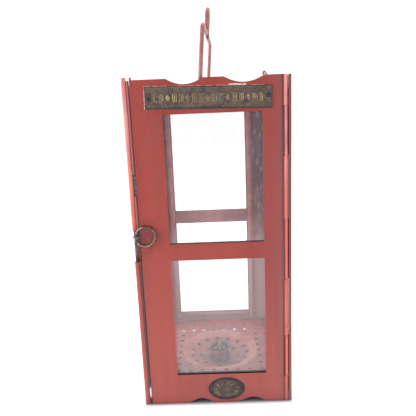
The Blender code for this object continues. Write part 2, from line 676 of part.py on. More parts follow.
def turned(name, profile, place, steps, collection=PARTS):
    """A solid of revolution about the vertical line at place. profile is a loop of (radius, height)."""
    mesh = bmesh.new()
    points = [mesh.verts.new((r, 0, z)) for r, z in profile]
    for a, b in zip(points, points[1:] + points[:1]):
        mesh.edges.new((a, b))
    data = bpy.data.meshes.new(name)
    mesh.to_mesh(data)
    mesh.free()
    obj = bpy.data.objects.new(name, data)
    collection.objects.link(obj)
    obj.location = place
    screw = obj.modifiers.new("turn", "SCREW")
    screw.steps = screw.render_steps = steps
    screw.use_merge_vertices = True
    screw.merge_threshold = 1e-6
    screw.use_normal_calculate = True
    return obj


def make_floor(axis):
    holes = [circle(x, y, HOLE_R, HOLE_SIDES, 0.37 * i) for i, (x, y) in enumerate(floor_holes())]
    mouth = circle(PATTERN.x, PATTERN.y, DISH_R - 0.5 * MM, 48)
    tray = cut_sheet("floor_tray", [tray_outline(), mouth, *holes], FLOOR_TOP - SHEET, FLOOR_TOP, "flat")
    radii = [DISH_R * i / 8 for i in range(9)]
    upper = [(r, dish_level(r) - OFF / 2) for r in radii]
    profile = [(r, z - SHEET) for r, z in upper] + upper[::-1]
    combine_with(tray, "UNION", turned("floor_dish", profile, PATTERN, 48, CUTTERS))
    roll, bore = rolled_edge(FLOOR_AXIS_Z)
    combine(tray, "UNION", rods=[roll])
    drills = [bore, ((PATTERN.x, PATTERN.y, 0), (PATTERN.x, PATTERN.y, FLOOR_TOP), DISH_BORE_R, 10)]
    for radius, count, phase in DISH_RINGS:
        for x, y in circle(PATTERN.x, PATTERN.y, radius, count, phase):
            drills.append(((x, y, 2 * MM), (x, y, FLOOR_TOP + MM), HOLE_R, HOLE_SIDES))
    combine(tray, "DIFFERENCE", rods=drills)
    finish(tray, INNER_RED, axis)
    make_socket(axis)


def make_socket(axis):
    """A straight-sided cup with a slit in its back, riveted to the middle of the dish."""
    inner = SOCKET_R - SOCKET_WALL
    foot = SOCKET_R + SOCKET_FOOT
    base = dish_level(foot) + GAP
    lip = base + SOCKET_BASE
    rim = [(foot - 0.6 * MM, base), (foot, base + 0.5 * MM), (foot - 0.4 * MM, base + MM)]
    cup = [(SOCKET_R, base + 1.2 * MM), (SOCKET_R, SOCKET_TOP), (inner, SOCKET_TOP), (inner, lip)]
    profile = [(SOCKET_BORE_R, base), *rim, *cup, (SOCKET_BORE_R, lip)]
    socket = turned("candle_socket", profile, PATTERN, 32)
    x, y = PATTERN.x, PATTERN.y
    low = (x - SOCKET_SLIT / 2, y + SOCKET_R / 2, base + 5 * MM)
    high = (x + SOCKET_SLIT / 2, y + 2 * SOCKET_R, SOCKET_TOP + MM)
    drills = []
    for sign in (-1, 1):
        out = Vector((-sign * math.sin(SOCKET_HOLE_TURN), math.cos(SOCKET_HOLE_TURN), 0))
        start = PATTERN + out * (SOCKET_R - 3 * MM) + Vector((0, 0, base + SOCKET_HOLE_RISE))
        drills.append((tuple(start), tuple(start + out * 6 * MM), SOCKET_HOLE_R, 12))
    combine(socket, "DIFFERENCE", boxes=[(low, high)], rods=drills)
    finish(socket, INNER_RED, axis)
    make_socket_rivet(FLOOR_TOP - DISH_DEPTH - SHEET - GAP, lip + GAP, axis)


def make_socket_rivet(bottom, top, axis):
    """The rivet up through the dish and the socket's base. Its heads bear at bottom and top."""
    x, y = PATTERN.x, PATTERN.y
    thick = SOCKET_BASE - OFF
    shank = ((x, y, bottom - thick / 2), (x, y, top + thick / 2), SOCKET_RIVET_R, 10)
    heads = [((x, y, bottom - thick), (x, y, bottom), SOCKET_RIVET_HEAD, 12)]
    heads.append(((x, y, top), (x, y, top + thick), SOCKET_RIVET_HEAD, 12))
    rivet = combine(shapes("socket_rivet", rods=[shank]), "UNION", rods=heads)
    finish(rivet, STEEL, axis)


def make_roof(axis):
    vents = []
    middle_y = (TRAY_FRONT + REAR_AXIS_Y) / 2
    for radius, count in VENT_RINGS:
        ring = circle(0, middle_y, radius, count)
        vents += [circle(x, y, VENT_R, 8, 0.23 * i) for i, (x, y) in enumerate(ring)]
    plate = cut_sheet("roof_plate", [tray_outline(), *vents], ROOF_TOP - SHEET, ROOF_TOP, "flat")
    roll, bore = rolled_edge(ROOF_AXIS_Z)
    combine(plate, "UNION", rods=[roll])
    combine(plate, "DIFFERENCE", rods=[bore])
    finish(plate, RED, axis)
    for end, place, inward in (("front", BAIL_FRONT, 1), ("rear", BAIL_REAR, -1)):
        make_lug(f"bail_lug_{end}", place, inward, axis)


def make_lug(name, place, inward, axis):
    """A bracket on the roof: a round-topped ear with the bail's hole, and a foot away from the leg."""
    foot_z = ROOF_TOP + GAP
    arc = circle(place.x, place.z, LUG_R, 16)[:9]
    ear = [(place.x - LUG_R, foot_z), (place.x + LUG_R, foot_z), *arc]
    near = place.y + inward * LUG_INSET
    hole = circle(place.x, place.z, BAIL_R + LUG_HOLE_PLAY, 12)
    lug = cut_sheet(name, [ear, hole], *sorted((near, near + inward * LUG_THICK)), "front")
    foot_y = sorted((near + inward * BITE_IN, near + inward * LUG_FOOT))
    low = (place.x - LUG_R + GAP, foot_y[0], foot_z + OFF / 2)
    high = (place.x + LUG_R - GAP, foot_y[1], foot_z + OFF / 2 + SHEET)
    combine(lug, "UNION", boxes=[(low, high)])
    finish(lug, RED, axis)


def bend(corner_point, before, after, radius, steps=4):
    """Points of a round bend at a corner between two directions at right angles."""
    start = corner_point - before * radius
    centre = start + after * radius
    points = []
    for i in range(steps + 1):
        a = math.pi / 2 * i / steps
        points.append(centre - after * radius * math.cos(a) + before * radius * math.sin(a))
    return points


def make_bail(axis):
    """Two legs and a bar with a round hanging loop in its middle, all of one wire in a leaning plane."""
    along = (BAIL_REAR - BAIL_FRONT).normalized()
    side = Vector((along.y, -along.x, 0))
    up = Vector((0, 0, 1)) * math.cos(BAIL_LEAN) + side * math.sin(BAIL_LEAN)
    stub = LUG_INSET + LUG_THICK + HOOK_PAST
    top_front, top_rear = BAIL_FRONT + up * BAIL_RISE, BAIL_REAR + up * BAIL_RISE
    points = [BAIL_FRONT + along * stub, *bend(BAIL_FRONT, -along, up, HOOK_BEND, 3)]
    points += bend(top_front, up, along, BAIL_BEND)
    points += hanging_loop((top_front + top_rear) / 2, along, up)
    points += bend(top_rear, along, -up, BAIL_BEND)
    points += [*bend(BAIL_REAR, -up, -along, HOOK_BEND, 3), BAIL_REAR - along * stub]
    finish(wire("bail", [tuple(p) for p in points], BAIL_R), RED, axis)


def hanging_loop(middle, along, up):
    """The bar rises on each side of the middle into most of a circle, open at the bottom."""
    centre = middle + up * (LOOP_RISE - LOOP_R)
    start, turn, steps = LOOP_ARC
    points = []
    for i in range(steps + 1):
        a = math.radians(start - turn * i / steps)
        points.append(centre + along * LOOP_R * math.cos(a) + up * LOOP_R * math.sin(a))
    before = [middle - along * (LOOP_FOOT + 3 * MM), middle - along * LOOP_FOOT + up * MM]
    after = [middle + along * LOOP_FOOT + up * MM, middle + along * (LOOP_FOOT + 3 * MM)]
    return before + points + after


def make_lantern():
    left = joint_axis("left_wall_axis", corner(-1))
    right = joint_axis("right_wall_axis", corner(1))
    door = joint_axis("door_axis", DOOR_PIN, right)
    ring = joint_axis("ring_axis", RING_PIVOT, door)
    floor = joint_axis("floor_axis", Vector((0, REAR_AXIS_Y, FLOOR_AXIS_Z)))
    roof = joint_axis("roof_axis", Vector((0, REAR_AXIS_Y, ROOF_AXIS_Z)))
    bail = joint_axis("bail_axis", BAIL_FRONT, roof)
    make_back()
    make_left(left)
    make_right(right)
    make_door(door)
    make_ring(ring)
    make_floor(floor)
    make_roof(roof)
    make_bail(bail)


make_lantern()
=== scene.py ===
"""Looks of the folding candle lantern: fine pieces, procedural materials, camera and light."""
import json
import math

import bmesh
import bpy
from mathutils import Matrix, Vector

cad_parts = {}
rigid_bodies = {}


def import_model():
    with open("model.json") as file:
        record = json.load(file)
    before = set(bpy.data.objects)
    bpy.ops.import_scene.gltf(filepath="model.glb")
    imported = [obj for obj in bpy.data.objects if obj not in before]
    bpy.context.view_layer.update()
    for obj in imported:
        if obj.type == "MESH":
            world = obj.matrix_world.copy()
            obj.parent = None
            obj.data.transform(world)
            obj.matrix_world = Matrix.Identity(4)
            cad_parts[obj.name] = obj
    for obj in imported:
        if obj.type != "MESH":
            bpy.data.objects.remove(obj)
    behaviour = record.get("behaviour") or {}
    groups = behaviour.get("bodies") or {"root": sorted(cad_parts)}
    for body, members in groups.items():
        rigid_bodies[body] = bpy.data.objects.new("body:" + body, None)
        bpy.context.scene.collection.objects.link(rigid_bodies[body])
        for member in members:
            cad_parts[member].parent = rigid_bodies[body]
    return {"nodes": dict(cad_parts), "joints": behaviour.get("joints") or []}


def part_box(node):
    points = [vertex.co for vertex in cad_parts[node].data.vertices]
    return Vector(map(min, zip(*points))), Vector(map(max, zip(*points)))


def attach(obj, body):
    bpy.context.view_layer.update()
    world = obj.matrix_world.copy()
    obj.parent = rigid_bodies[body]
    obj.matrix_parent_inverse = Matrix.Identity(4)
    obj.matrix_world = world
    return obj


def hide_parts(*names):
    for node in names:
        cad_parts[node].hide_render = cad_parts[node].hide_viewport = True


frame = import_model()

for leftover in [o for o in bpy.data.objects if o.name in ("Cube", "Camera", "Light")]:
    bpy.data.objects.remove(leftover)
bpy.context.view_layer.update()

MM = 0.001
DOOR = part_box("door_panel")
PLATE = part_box("name_plate")
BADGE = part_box("oval_badge")
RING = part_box("pull_ring")
BACK_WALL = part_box("back_wall")
JOINTS = {joint["name"]: joint for joint in frame["joints"]}
WALL_MIDDLE_Y = (DOOR[0].y + BACK_WALL[1].y) / 2
HOLE_R = 1.7 * MM
HOLE_PITCH = 13.8 * MM
SOCKET_R = 11.6 * MM
DISH_RINGS = [(34 * MM, 15, math.radians(94.7)), (23 * MM, 8, math.radians(40.7))]
WINDOW_SILLS = [34.8 * MM, 183.6 * MM]
PLATE_TILT = math.radians(-1.4)
PLATE_HALF = (60.8 * MM, 10.6 * MM)


# ---------------------------------------------------------------- node graphs

class Graph:
    """A material's nodes, with a call for each kind. A value is a number, a colour or a socket."""

    def __init__(self, name):
        self.material = bpy.data.materials.new(name)
        self.material.use_nodes = True
        self.tree = self.material.node_tree
        self.shader = self.tree.nodes["Principled BSDF"]
        self.output = self.tree.nodes["Material Output"]
        self.coords = self.tree.nodes.new("ShaderNodeTexCoord")
        self.place = self.coords.outputs["Object"]
        split = self.node("ShaderNodeSeparateXYZ", Vector=self.place)
        self.x, self.y, self.z = split.outputs

    def node(self, kind, settings=None, **values):
        made = self.tree.nodes.new(kind)
        for key, value in (settings or {}).items():
            setattr(made, key, value)
        for key, value in values.items():
            self.put(made.inputs[key], value)
        return made

    def put(self, socket, value):
        if isinstance(value, bpy.types.NodeSocket):
            self.tree.links.new(value, socket)
        elif isinstance(value, tuple) and socket.type == "RGBA":
            socket.default_value = (*value, 1)
        else:
            socket.default_value = value

    def math(self, operation, a, b=0.0, clamp=False):
        made = self.node("ShaderNodeMath", {"operation": operation, "use_clamp": clamp})
        self.put(made.inputs[0], a)
        self.put(made.inputs[1], b)
        return made.outputs[0]

    def times(self, first, *others):
        for other in others:
            first = self.math("MULTIPLY", first, other)
        return first

    def fade(self, value, low, high):
        """0 where value is at low, 1 where it is at high, and smooth between."""
        made = self.node("ShaderNodeMapRange", {"interpolation_type": "SMOOTHSTEP"}, Value=value)
        made.inputs["From Min"].default_value = low
        made.inputs["From Max"].default_value = high
        return made.outputs["Result"]

    def band(self, value, low, high, edge):
        """1 where value lies between low and high, with soft edges."""
        above = self.fade(value, low - edge, low + edge)
        return self.times(above, self.fade(value, high + edge, high - edge))

    def noise(self, scale, detail=3.0, rough=0.5, stretch=(1, 1, 1), shift=0.0):
        mapping = self.node("ShaderNodeMapping", Vector=self.place)
        mapping.inputs["Scale"].default_value = stretch
        mapping.inputs["Location"].default_value = (shift, shift, shift)
        values = {"Scale": scale, "Detail": detail, "Roughness": rough}
        return self.node("ShaderNodeTexNoise", Vector=mapping.outputs[0], **values).outputs["Fac"]

    def facing(self):
        """The surface's direction, as X, Y and Z."""
        return self.node("ShaderNodeSeparateXYZ", Vector=self.coords.outputs["Normal"]).outputs

    def spots(self, scale, size):
        """Small round spots at random places: 1 at a spot's middle, 0 at size of a cell from it."""
        made = self.node("ShaderNodeTexVoronoi", Vector=self.place, Scale=scale)
        return self.fade(made.outputs["Distance"], size, size * 0.4)

    def blend(self, share, a, b, kind="MIX"):
        made = self.node("ShaderNodeMix", {"data_type": "RGBA", "blend_type": kind})
        self.put(made.inputs["Factor"], share)
        self.put(made.inputs["A"], a)
        self.put(made.inputs["B"], b)
        return made.outputs["Result"]

    def bump(self, height, depth):
        made = self.node("ShaderNodeBump", Height=height, Distance=depth, Strength=1.0)
        return made.outputs["Normal"]

    def set(self, **values):
        for key, value in values.items():
            self.put(self.shader.inputs[key.replace("_", " ")], value)


# ------------------------------------------------------------------ materials

BRICK = (0.272, 0.037, 0.030)
ORANGE = (0.315, 0.047, 0.035)
MAUVE = (0.235, 0.072, 0.072)
PALE = (0.45, 0.15, 0.13)
# painted highlight with rubbed paint on the rolled edges, high and low
LIT_RUB_HIGH = (0.73, 0.29, 0.27)
LIT_RUB_LOW = (0.66, 0.155, 0.12)
CHIP = (0.85, 0.52, 0.44)
# near black: grime in the specks, painted shade and dirt on the sills
GRIME_AND_SHADE = (0.030, 0.024, 0.032)
INNER = (0.50, 0.215, 0.205)
# painted light: the lighter, redder inside paint where it faces the windows
INNER_LIT_RED = (0.68, 0.22, 0.21)
INNER_SOOT = (0.15, 0.075, 0.095)
# painted haze light with dust, low inside
INNER_DUST_AND_HAZE_LIGHT = (0.78, 0.64, 0.67)
# painted shade in the creases and beside the knuckles
CREASE_SHADE = (0.085, 0.026, 0.036)
BRUSH_MARK = (0.16, 0.04, 0.04)
# painted highlight on the cut edges, with wear
CUT_EDGE_HIGHLIGHT = (0.70, 0.30, 0.25)
INNER_FLECK = (0.66, 0.42, 0.44)
STRIP_HIGHLIGHT = (0.60, 0.22, 0.20)
STRIP_LOW = (0.085, 0.03, 0.038)
STRIP_SHADE = (0.035, 0.018, 0.026)
STRIP_BRIGHT_PATCH = (0.80, 0.80, 0.86)
RING_SMEAR = (0.15, 0.036, 0.042)
TRAY = (0.60, 0.19, 0.16)
TRAY_DULL = (0.45, 0.165, 0.155)
TRAY_LIP = (0.86, 0.46, 0.38)
TRAY_BOWL_SHADE = (0.25, 0.11, 0.115)
TRAY_SMUDGE = (0.20, 0.12, 0.12)
TRAY_GRAIN = (0.34, 0.16, 0.16)
TRAY_UNDER_SHADE = (0.16, 0.07, 0.07)
HOLE_RIM_SHADE = (0.05, 0.04, 0.055)
BRIGHT_RIM = (0.95, 0.92, 0.90)
WAX = (0.75, 0.62, 0.56)
CUP = (0.27, 0.085, 0.10)
CUP_DARK = (0.14, 0.055, 0.07)
CUP_INSIDE = (0.055, 0.038, 0.048)
DUST = (0.80, 0.79, 0.82)
TARNISH = (0.145, 0.105, 0.085)
TARNISH_DARK = (0.07, 0.058, 0.058)
TARNISH_SWIRL = (0.25, 0.18, 0.12)
TARNISH_GRAIN = (0.21, 0.155, 0.115)
TARNISH_BLACK = (0.03, 0.032, 0.04)
BRASS = (0.50, 0.34, 0.14)
BRASS_EDGE = (0.028, 0.033, 0.045)
WIRE = (0.27, 0.07, 0.072)
WIRE_PALE = (0.42, 0.165, 0.16)
WIRE_REAR = (0.62, 0.27, 0.26)
WIRE_WORN = (0.13, 0.05, 0.06)
STUDIO_WHITE = (0.93, 0.93, 0.93)

# The vertical rolled edges and hinges, by their wires' middles
ROLLED_JOINTS = ("left_wall_swing", "right_wall_swing", "door_swing")
ROLLED = [Vector(JOINTS[name]["pos_m"]) for name in ROLLED_JOINTS]
JAMB = (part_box("jamb_rod")[0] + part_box("jamb_rod")[1]) / 2
ROLLED_R = 2.2 * MM


def painted(graph):
    """Outside paint: brushed brick red, duller and darker towards mauve to the right as painted shade,
    duller in random patches, paler low down, with grain and specks.
    """
    brushed = graph.noise(120, 4, 0.6, (1, 1, 0.06))
    cloud = graph.noise(22, 3, 0.55, (1, 1, 0.45))
    colour = graph.blend(graph.fade(cloud, 0.35, 0.65), BRICK, ORANGE)
    patch = graph.noise(13, 4, 0.6, (1, 1, 0.5), 3.1)
    # painted shade: darker towards mauve to the right, more on the faces that look forward
    forward = graph.fade(graph.facing()[1], -0.3, -0.8)
    right_shade = graph.times(graph.fade(graph.x, 0.058, 0.071), forward, 0.45)
    right_shade = graph.math("ADD", graph.times(graph.fade(graph.x, 0.03, 0.08), 0.35), right_shade)
    # the mauve mix holds random duller patches and the painted shade on the right
    dull = graph.math("ADD", graph.times(graph.fade(patch, 0.5, 0.72), 0.45), right_shade, True)
    colour = graph.blend(dull, colour, MAUVE)
    colour = graph.blend(graph.times(graph.fade(graph.z, 0.24, 0.0), 0.34), colour, PALE)
    colour = graph.blend(graph.times(graph.fade(brushed, 0.3, 0.7), 0.22), colour, BRUSH_MARK)
    grain = graph.noise(900, 2, 0.6)
    colour = graph.blend(graph.times(graph.fade(grain, 0.45, 0.75), 0.16), colour, PALE)
    speck = graph.times(graph.spots(420, 0.16), graph.fade(graph.noise(40, 2), 0.52, 0.62))
    return graph.blend(graph.times(speck, 0.6), colour, GRIME_AND_SHADE), brushed, cloud


def from_axis(graph, axis):
    """Level distance from a vertical line."""
    level = graph.node("ShaderNodeCombineXYZ", X=graph.x, Y=graph.y)
    away = graph.node("ShaderNodeVectorMath", {"operation": "DISTANCE"})
    graph.put(away.inputs[0], level.outputs[0])
    away.inputs[1].default_value = (axis.x, axis.y, 0)
    return away.outputs["Value"]


def lit_rubbed_rolls(graph, colour):
    """The rolled edges are paler, pinker near the top: a painted highlight, with rubbed paint. Painted
    shade darkens the creases beside them.
    """
    lit_rub = graph.blend(graph.fade(graph.z, 0.2, 0.32), LIT_RUB_LOW, LIT_RUB_HIGH)
    patchy = graph.fade(graph.noise(60, 4, 0.6, (1, 1, 0.4)), 0.35, 0.6)
    uneven = graph.math("ADD", 0.55, graph.times(patchy, 0.4))
    high = graph.math("ADD", 0.2, graph.times(graph.fade(graph.z, 0.17, 0.21), 0.75))
    foot = graph.math("ADD", 0.45, graph.times(graph.fade(graph.z, 0.025, 0.034), 0.55))
    for axis, share in [(axis, foot) for axis in ROLLED] + [(JAMB, high)]:
        away = from_axis(graph, axis)
        right = graph.times(graph.fade(graph.x, ROLLED[2].x + 0.5 * MM, ROLLED[2].x + 1.5 * MM), 0.6)
        # painted shade in the crease beside each roll, less to the right of the door's pin
        crease_shade = graph.band(away, ROLLED_R + 0.5 * MM, ROLLED_R + 1.9 * MM, 0.3 * MM)
        crease_shade = graph.times(crease_shade, 0.7, graph.math("SUBTRACT", 1.0, right))
        colour = graph.blend(crease_shade, colour, CREASE_SHADE)
        # painted highlight with rubbed paint on each roll: on the jamb more near the top, on the hinges
        # less at the foot
        roll = graph.fade(away, ROLLED_R + 0.2 * MM, ROLLED_R + 0.05 * MM)
        colour = graph.blend(graph.times(roll, uneven, share), colour, lit_rub)
    return colour


def lit_worn_edges(graph, colour):
    """The door's upright cut edges, paler: a painted highlight, with worn paint."""
    normal = graph.facing()
    upright = graph.times(
        graph.fade(graph.math("ABSOLUTE", normal[1]), 0.5, 0.2),
        graph.fade(graph.math("ABSOLUTE", normal[2]), 0.6, 0.3),
        graph.fade(graph.x, 0.07, 0.068),
    )
    return graph.blend(graph.times(upright, 0.5), colour, CUT_EDGE_HIGHLIGHT)


def inside_mask(graph):
    """1 on the faces that look towards the lantern's middle."""
    from_middle = graph.math("SUBTRACT", graph.y, WALL_MIDDLE_Y)
    level = graph.node("ShaderNodeCombineXYZ", X=graph.x, Y=from_middle)
    outward = graph.node("ShaderNodeVectorMath", {"operation": "NORMALIZE"})
    graph.put(outward.inputs[0], level.outputs[0])
    facing = graph.node("ShaderNodeVectorMath", {"operation": "DOT_PRODUCT"})
    graph.put(facing.inputs[0], outward.outputs[0])
    graph.put(facing.inputs[1], graph.coords.outputs["Normal"])
    return graph.fade(facing.outputs["Value"], -0.05, -0.25)


def inner_colour(graph, window_light=0.0):
    """Inside paint: greyish pink, sooty in patches, paler low down as painted haze light with dust. The
    last argument, 0 to 1, holds soot back and makes the paint lighter and redder: painted light on the
    insides that face the windows.
    """
    cloud = graph.noise(30, 5, 0.65, (1, 1, 0.5))
    fine = graph.noise(240, 4, 0.7, (1, 1, 0.35))
    high = graph.times(graph.fade(graph.z, 0.1, 0.24), 0.45)
    soot = graph.math("ADD", graph.times(graph.fade(cloud, 0.38, 0.62), 0.6), high, True)
    soot = graph.times(soot, graph.math("SUBTRACT", 1.0, window_light))
    colour = graph.blend(soot, graph.blend(window_light, INNER, INNER_LIT_RED), INNER_SOOT)
    colour = graph.blend(graph.times(graph.fade(fine, 0.48, 0.32), 0.55), colour, INNER_SOOT)
    colour = graph.blend(graph.times(graph.fade(fine, 0.53, 0.68), 0.45), colour, INNER_FLECK)
    # painted haze light with dust: paler low down
    return graph.blend(graph.times(graph.fade(graph.z, 0.18, 0.11), 0.72), colour, INNER_DUST_AND_HAZE_LIGHT)


def finish_paint(graph, colour, brushed, cloud):
    grain = graph.noise(700, 3, 0.6)
    height = graph.math("ADD", graph.times(brushed, 0.7), graph.times(grain, 0.3))
    rough = graph.math("ADD", 0.30, graph.times(graph.fade(cloud, 0.3, 0.7), 0.16))
    normal = graph.bump(height, 0.12 * MM)
    graph.set(Base_Color=colour, Roughness=rough, Normal=normal, Specular_IOR_Level=0.22)
    return graph.material


def sill_shade_and_grime(graph, colour):
    """Black on the edges that face up: painted shade, with dirt."""
    up = graph.fade(graph.facing()[2], 0.6, 0.9)
    below = graph.fade(graph.z, DOOR[1].z - 12 * MM, DOOR[1].z - 16 * MM)
    return graph.blend(graph.times(up, below, 0.9), colour, GRIME_AND_SHADE)


def wall_paint(name, detail=None):
    """The paint of a whole wall. detail, if given, is called with the graph and changes the colour."""
    graph = Graph(name)
    colour, brushed, cloud = painted(graph)
    colour = graph.blend(inside_mask(graph), colour, inner_colour(graph))
    colour = lit_rubbed_rolls(graph, colour)
    colour = sill_shade_and_grime(graph, colour)
    if detail:
        colour = detail(graph, colour)
    return finish_paint(graph, colour, brushed, cloud)


def lit_crossbar(graph, colour):
    """The back wall's inside: its bars between the windows get painted light, lighter and redder with less
    soot than its stiles.
    """
    middle = (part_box("back_pane")[0].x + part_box("back_pane")[1].x) / 2
    bars = graph.fade(graph.math("ABSOLUTE", graph.math("SUBTRACT", graph.x, middle)), 52 * MM, 46 * MM)
    return graph.blend(graph.times(inside_mask(graph), bars, 0.85), colour, inner_colour(graph, 0.9))


def shaded_knuckles(graph, colour):
    """The right wall's own knuckles on the door's pin, with painted shade on their left."""
    door_pin = ROLLED[2]
    roll = graph.fade(from_axis(graph, door_pin), ROLLED_R + 0.2 * MM, ROLLED_R + 0.05 * MM)
    left = graph.fade(graph.x, door_pin.x - 0.3 * MM, door_pin.x - 1.1 * MM)
    return graph.blend(graph.times(roll, left, 0.85), colour, CREASE_SHADE)


def strip_paint():
    """The jamb strip: paler high up as a painted highlight, darker low down, with painted shade beside the
    door and a painted bright patch near its foot.
    """
    graph = Graph("jamb_strip_paint")
    colour, brushed, cloud = painted(graph)
    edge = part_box("jamb_strip")[1].x
    # painted highlight high up
    colour = graph.blend(graph.times(graph.fade(graph.z, 0.14, 0.21), 0.4), colour, STRIP_HIGHLIGHT)
    colour = graph.blend(graph.times(graph.fade(graph.z, 0.20, 0.15), 0.72), colour, STRIP_LOW)
    # painted shade beside the door
    dark = graph.fade(graph.x, edge - 1.3 * MM, edge - 0.8 * MM)
    colour = graph.blend(graph.times(dark, 0.9), colour, STRIP_SHADE)
    # painted light: a near-white patch low down beside the door
    beside_door = graph.fade(graph.x, edge - 2.1 * MM, edge - 1.2 * MM)
    bare = graph.times(graph.band(graph.z, 9 * MM, 20 * MM, 3 * MM), beside_door)
    colour = graph.blend(graph.times(bare, 0.9), colour, STRIP_BRIGHT_PATCH)
    return finish_paint(graph, colour, brushed, cloud)


def plate_place(graph):
    """Where a point is along and across the tilted plate, from its middle."""
    middle = (PLATE[0] + PLATE[1]) / 2
    x, z = graph.math("SUBTRACT", graph.x, middle.x), graph.math("SUBTRACT", graph.z, middle.z)
    cos, sin = math.cos(PLATE_TILT), math.sin(PLATE_TILT)
    u = graph.math("ADD", graph.times(x, cos), graph.times(z, sin))
    v = graph.math("ADD", graph.times(x, -sin), graph.times(z, cos))
    return u, v


def chips(graph):
    """Paint flaked off along the plate's top and left edges, with one bigger flake."""
    u, v = plate_place(graph)
    half_u, half_v = PLATE_HALF
    ragged = graph.noise(260, 4, 0.7)

    def patch(along, across, soft_along, soft_across):
        return graph.times(graph.band(u, *along, soft_along), graph.band(v, *across, soft_across))

    above = half_v - 3 * MM
    top = patch((-half_u - 0.6 * MM, half_u - 8 * MM), (above, half_v + 0.5 * MM), 0.4 * MM, 0.4 * MM)
    left = patch((-half_u - 0.8 * MM, 3 * MM - half_u), (-half_v, half_v), 0.4 * MM, 0.5 * MM)
    flake = patch((20 * MM, 36 * MM), (above, half_v + 1.9 * MM), 1.5 * MM, 0.5 * MM)
    edge = graph.times(graph.math("MAXIMUM", top, left), graph.fade(ragged, 0.36, 0.58))
    return graph.math("MAXIMUM", edge, graph.times(flake, graph.fade(ragged, 0.34, 0.46)))


def door_paint():
    """The wall paint with what only the door has: chips round the plate and dirt from the ring."""
    graph = Graph("door_paint")
    colour, brushed, cloud = painted(graph)
    colour = graph.blend(graph.times(chips(graph), 0.85), colour, CHIP)
    middle = (RING[0] + RING[1]) / 2
    away = graph.node("ShaderNodeVectorMath", {"operation": "DISTANCE"})
    graph.put(away.inputs[0], graph.place)
    away.inputs[1].default_value = (middle.x, DOOR[0].y, middle.z - 2 * MM)
    patchy = graph.fade(graph.noise(90, 4, 0.65), 0.32, 0.62)
    smear = graph.times(graph.fade(away.outputs["Value"], 26 * MM, 7 * MM), patchy)
    colour = graph.blend(graph.times(smear, 0.75), colour, RING_SMEAR)
    colour = graph.blend(inside_mask(graph), colour, inner_colour(graph))
    colour = lit_worn_edges(graph, colour)
    colour = lit_rubbed_rolls(graph, colour)
    colour = sill_shade_and_grime(graph, colour)
    return finish_paint(graph, colour, brushed, cloud)


def inner_paint(name, window_light=0.0):
    graph = Graph(name)
    colour = inner_colour(graph, window_light)
    rough = graph.math("ADD", 0.48, graph.times(graph.noise(60, 3), 0.2))
    normal = graph.bump(graph.noise(420, 4, 0.6), 0.15 * MM)
    graph.set(Base_Color=colour, Roughness=rough, Normal=normal)
    return graph.material


def length(graph, a, b):
    squares = [graph.times(value, value) for value in (a, b)]
    return graph.math("SQRT", graph.math("ADD", *squares))


def hole_shade(graph, u, v):
    """1 at the rims of the tray's holes, where shade is painted: a square grid round the dish, and two
    rings of holes in it.
    """

    def from_nearest(value, pitch, shift):
        turns = graph.math("ADD", graph.math("DIVIDE", value, pitch), shift)
        return graph.times(graph.math("SUBTRACT", graph.math("FRACT", turns), 0.5), pitch)

    def spot(a, b):
        return graph.fade(length(graph, a, b), HOLE_R + 0.9 * MM, HOLE_R + 0.2 * MM)

    grid = spot(from_nearest(u, HOLE_PITCH, 10.0), from_nearest(v, HOLE_PITCH, 10.0))
    square = graph.math("MAXIMUM", graph.math("ABSOLUTE", u), graph.math("ABSOLUTE", v))
    darkening = graph.times(grid, graph.fade(square, 2.9 * HOLE_PITCH, 3.1 * HOLE_PITCH))
    angle = graph.math("ARCTAN2", v, u)
    for radius, count, phase in DISH_RINGS:
        turn = 2 * math.pi / count
        along = graph.times(from_nearest(angle, turn, 10.5 - phase / turn), radius)
        out = graph.math("SUBTRACT", length(graph, u, v), radius)
        darkening = graph.math("MAXIMUM", darkening, spot(along, out))
    return graph.times(darkening, graph.fade(graph.y, 45 * MM, 33 * MM))


def bright_rims(graph, u, v):
    """1 at the rims of six holes in the last row but one, bright as if light came up through them."""
    along = graph.math("FRACT", graph.math("ADD", graph.math("DIVIDE", u, HOLE_PITCH), 10.0))
    along = graph.times(graph.math("SUBTRACT", along, 0.5), HOLE_PITCH)
    away = length(graph, along, graph.math("SUBTRACT", v, 3.5 * HOLE_PITCH))
    rim = graph.fade(away, HOLE_R + 0.8 * MM, HOLE_R + 0.4 * MM)
    left = graph.band(graph.x, -52 * MM, -14 * MM, MM)
    return graph.times(rim, graph.math("MAXIMUM", left, graph.band(graph.x, 6 * MM, 46 * MM, MM)))


def tray_place(graph):
    """Where a point is across and along the tray, from the socket's axis."""
    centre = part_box("candle_socket")
    middle = (centre[0] + centre[1]) / 2
    return graph.math("SUBTRACT", graph.x, middle.x), graph.math("SUBTRACT", graph.y, middle.y)


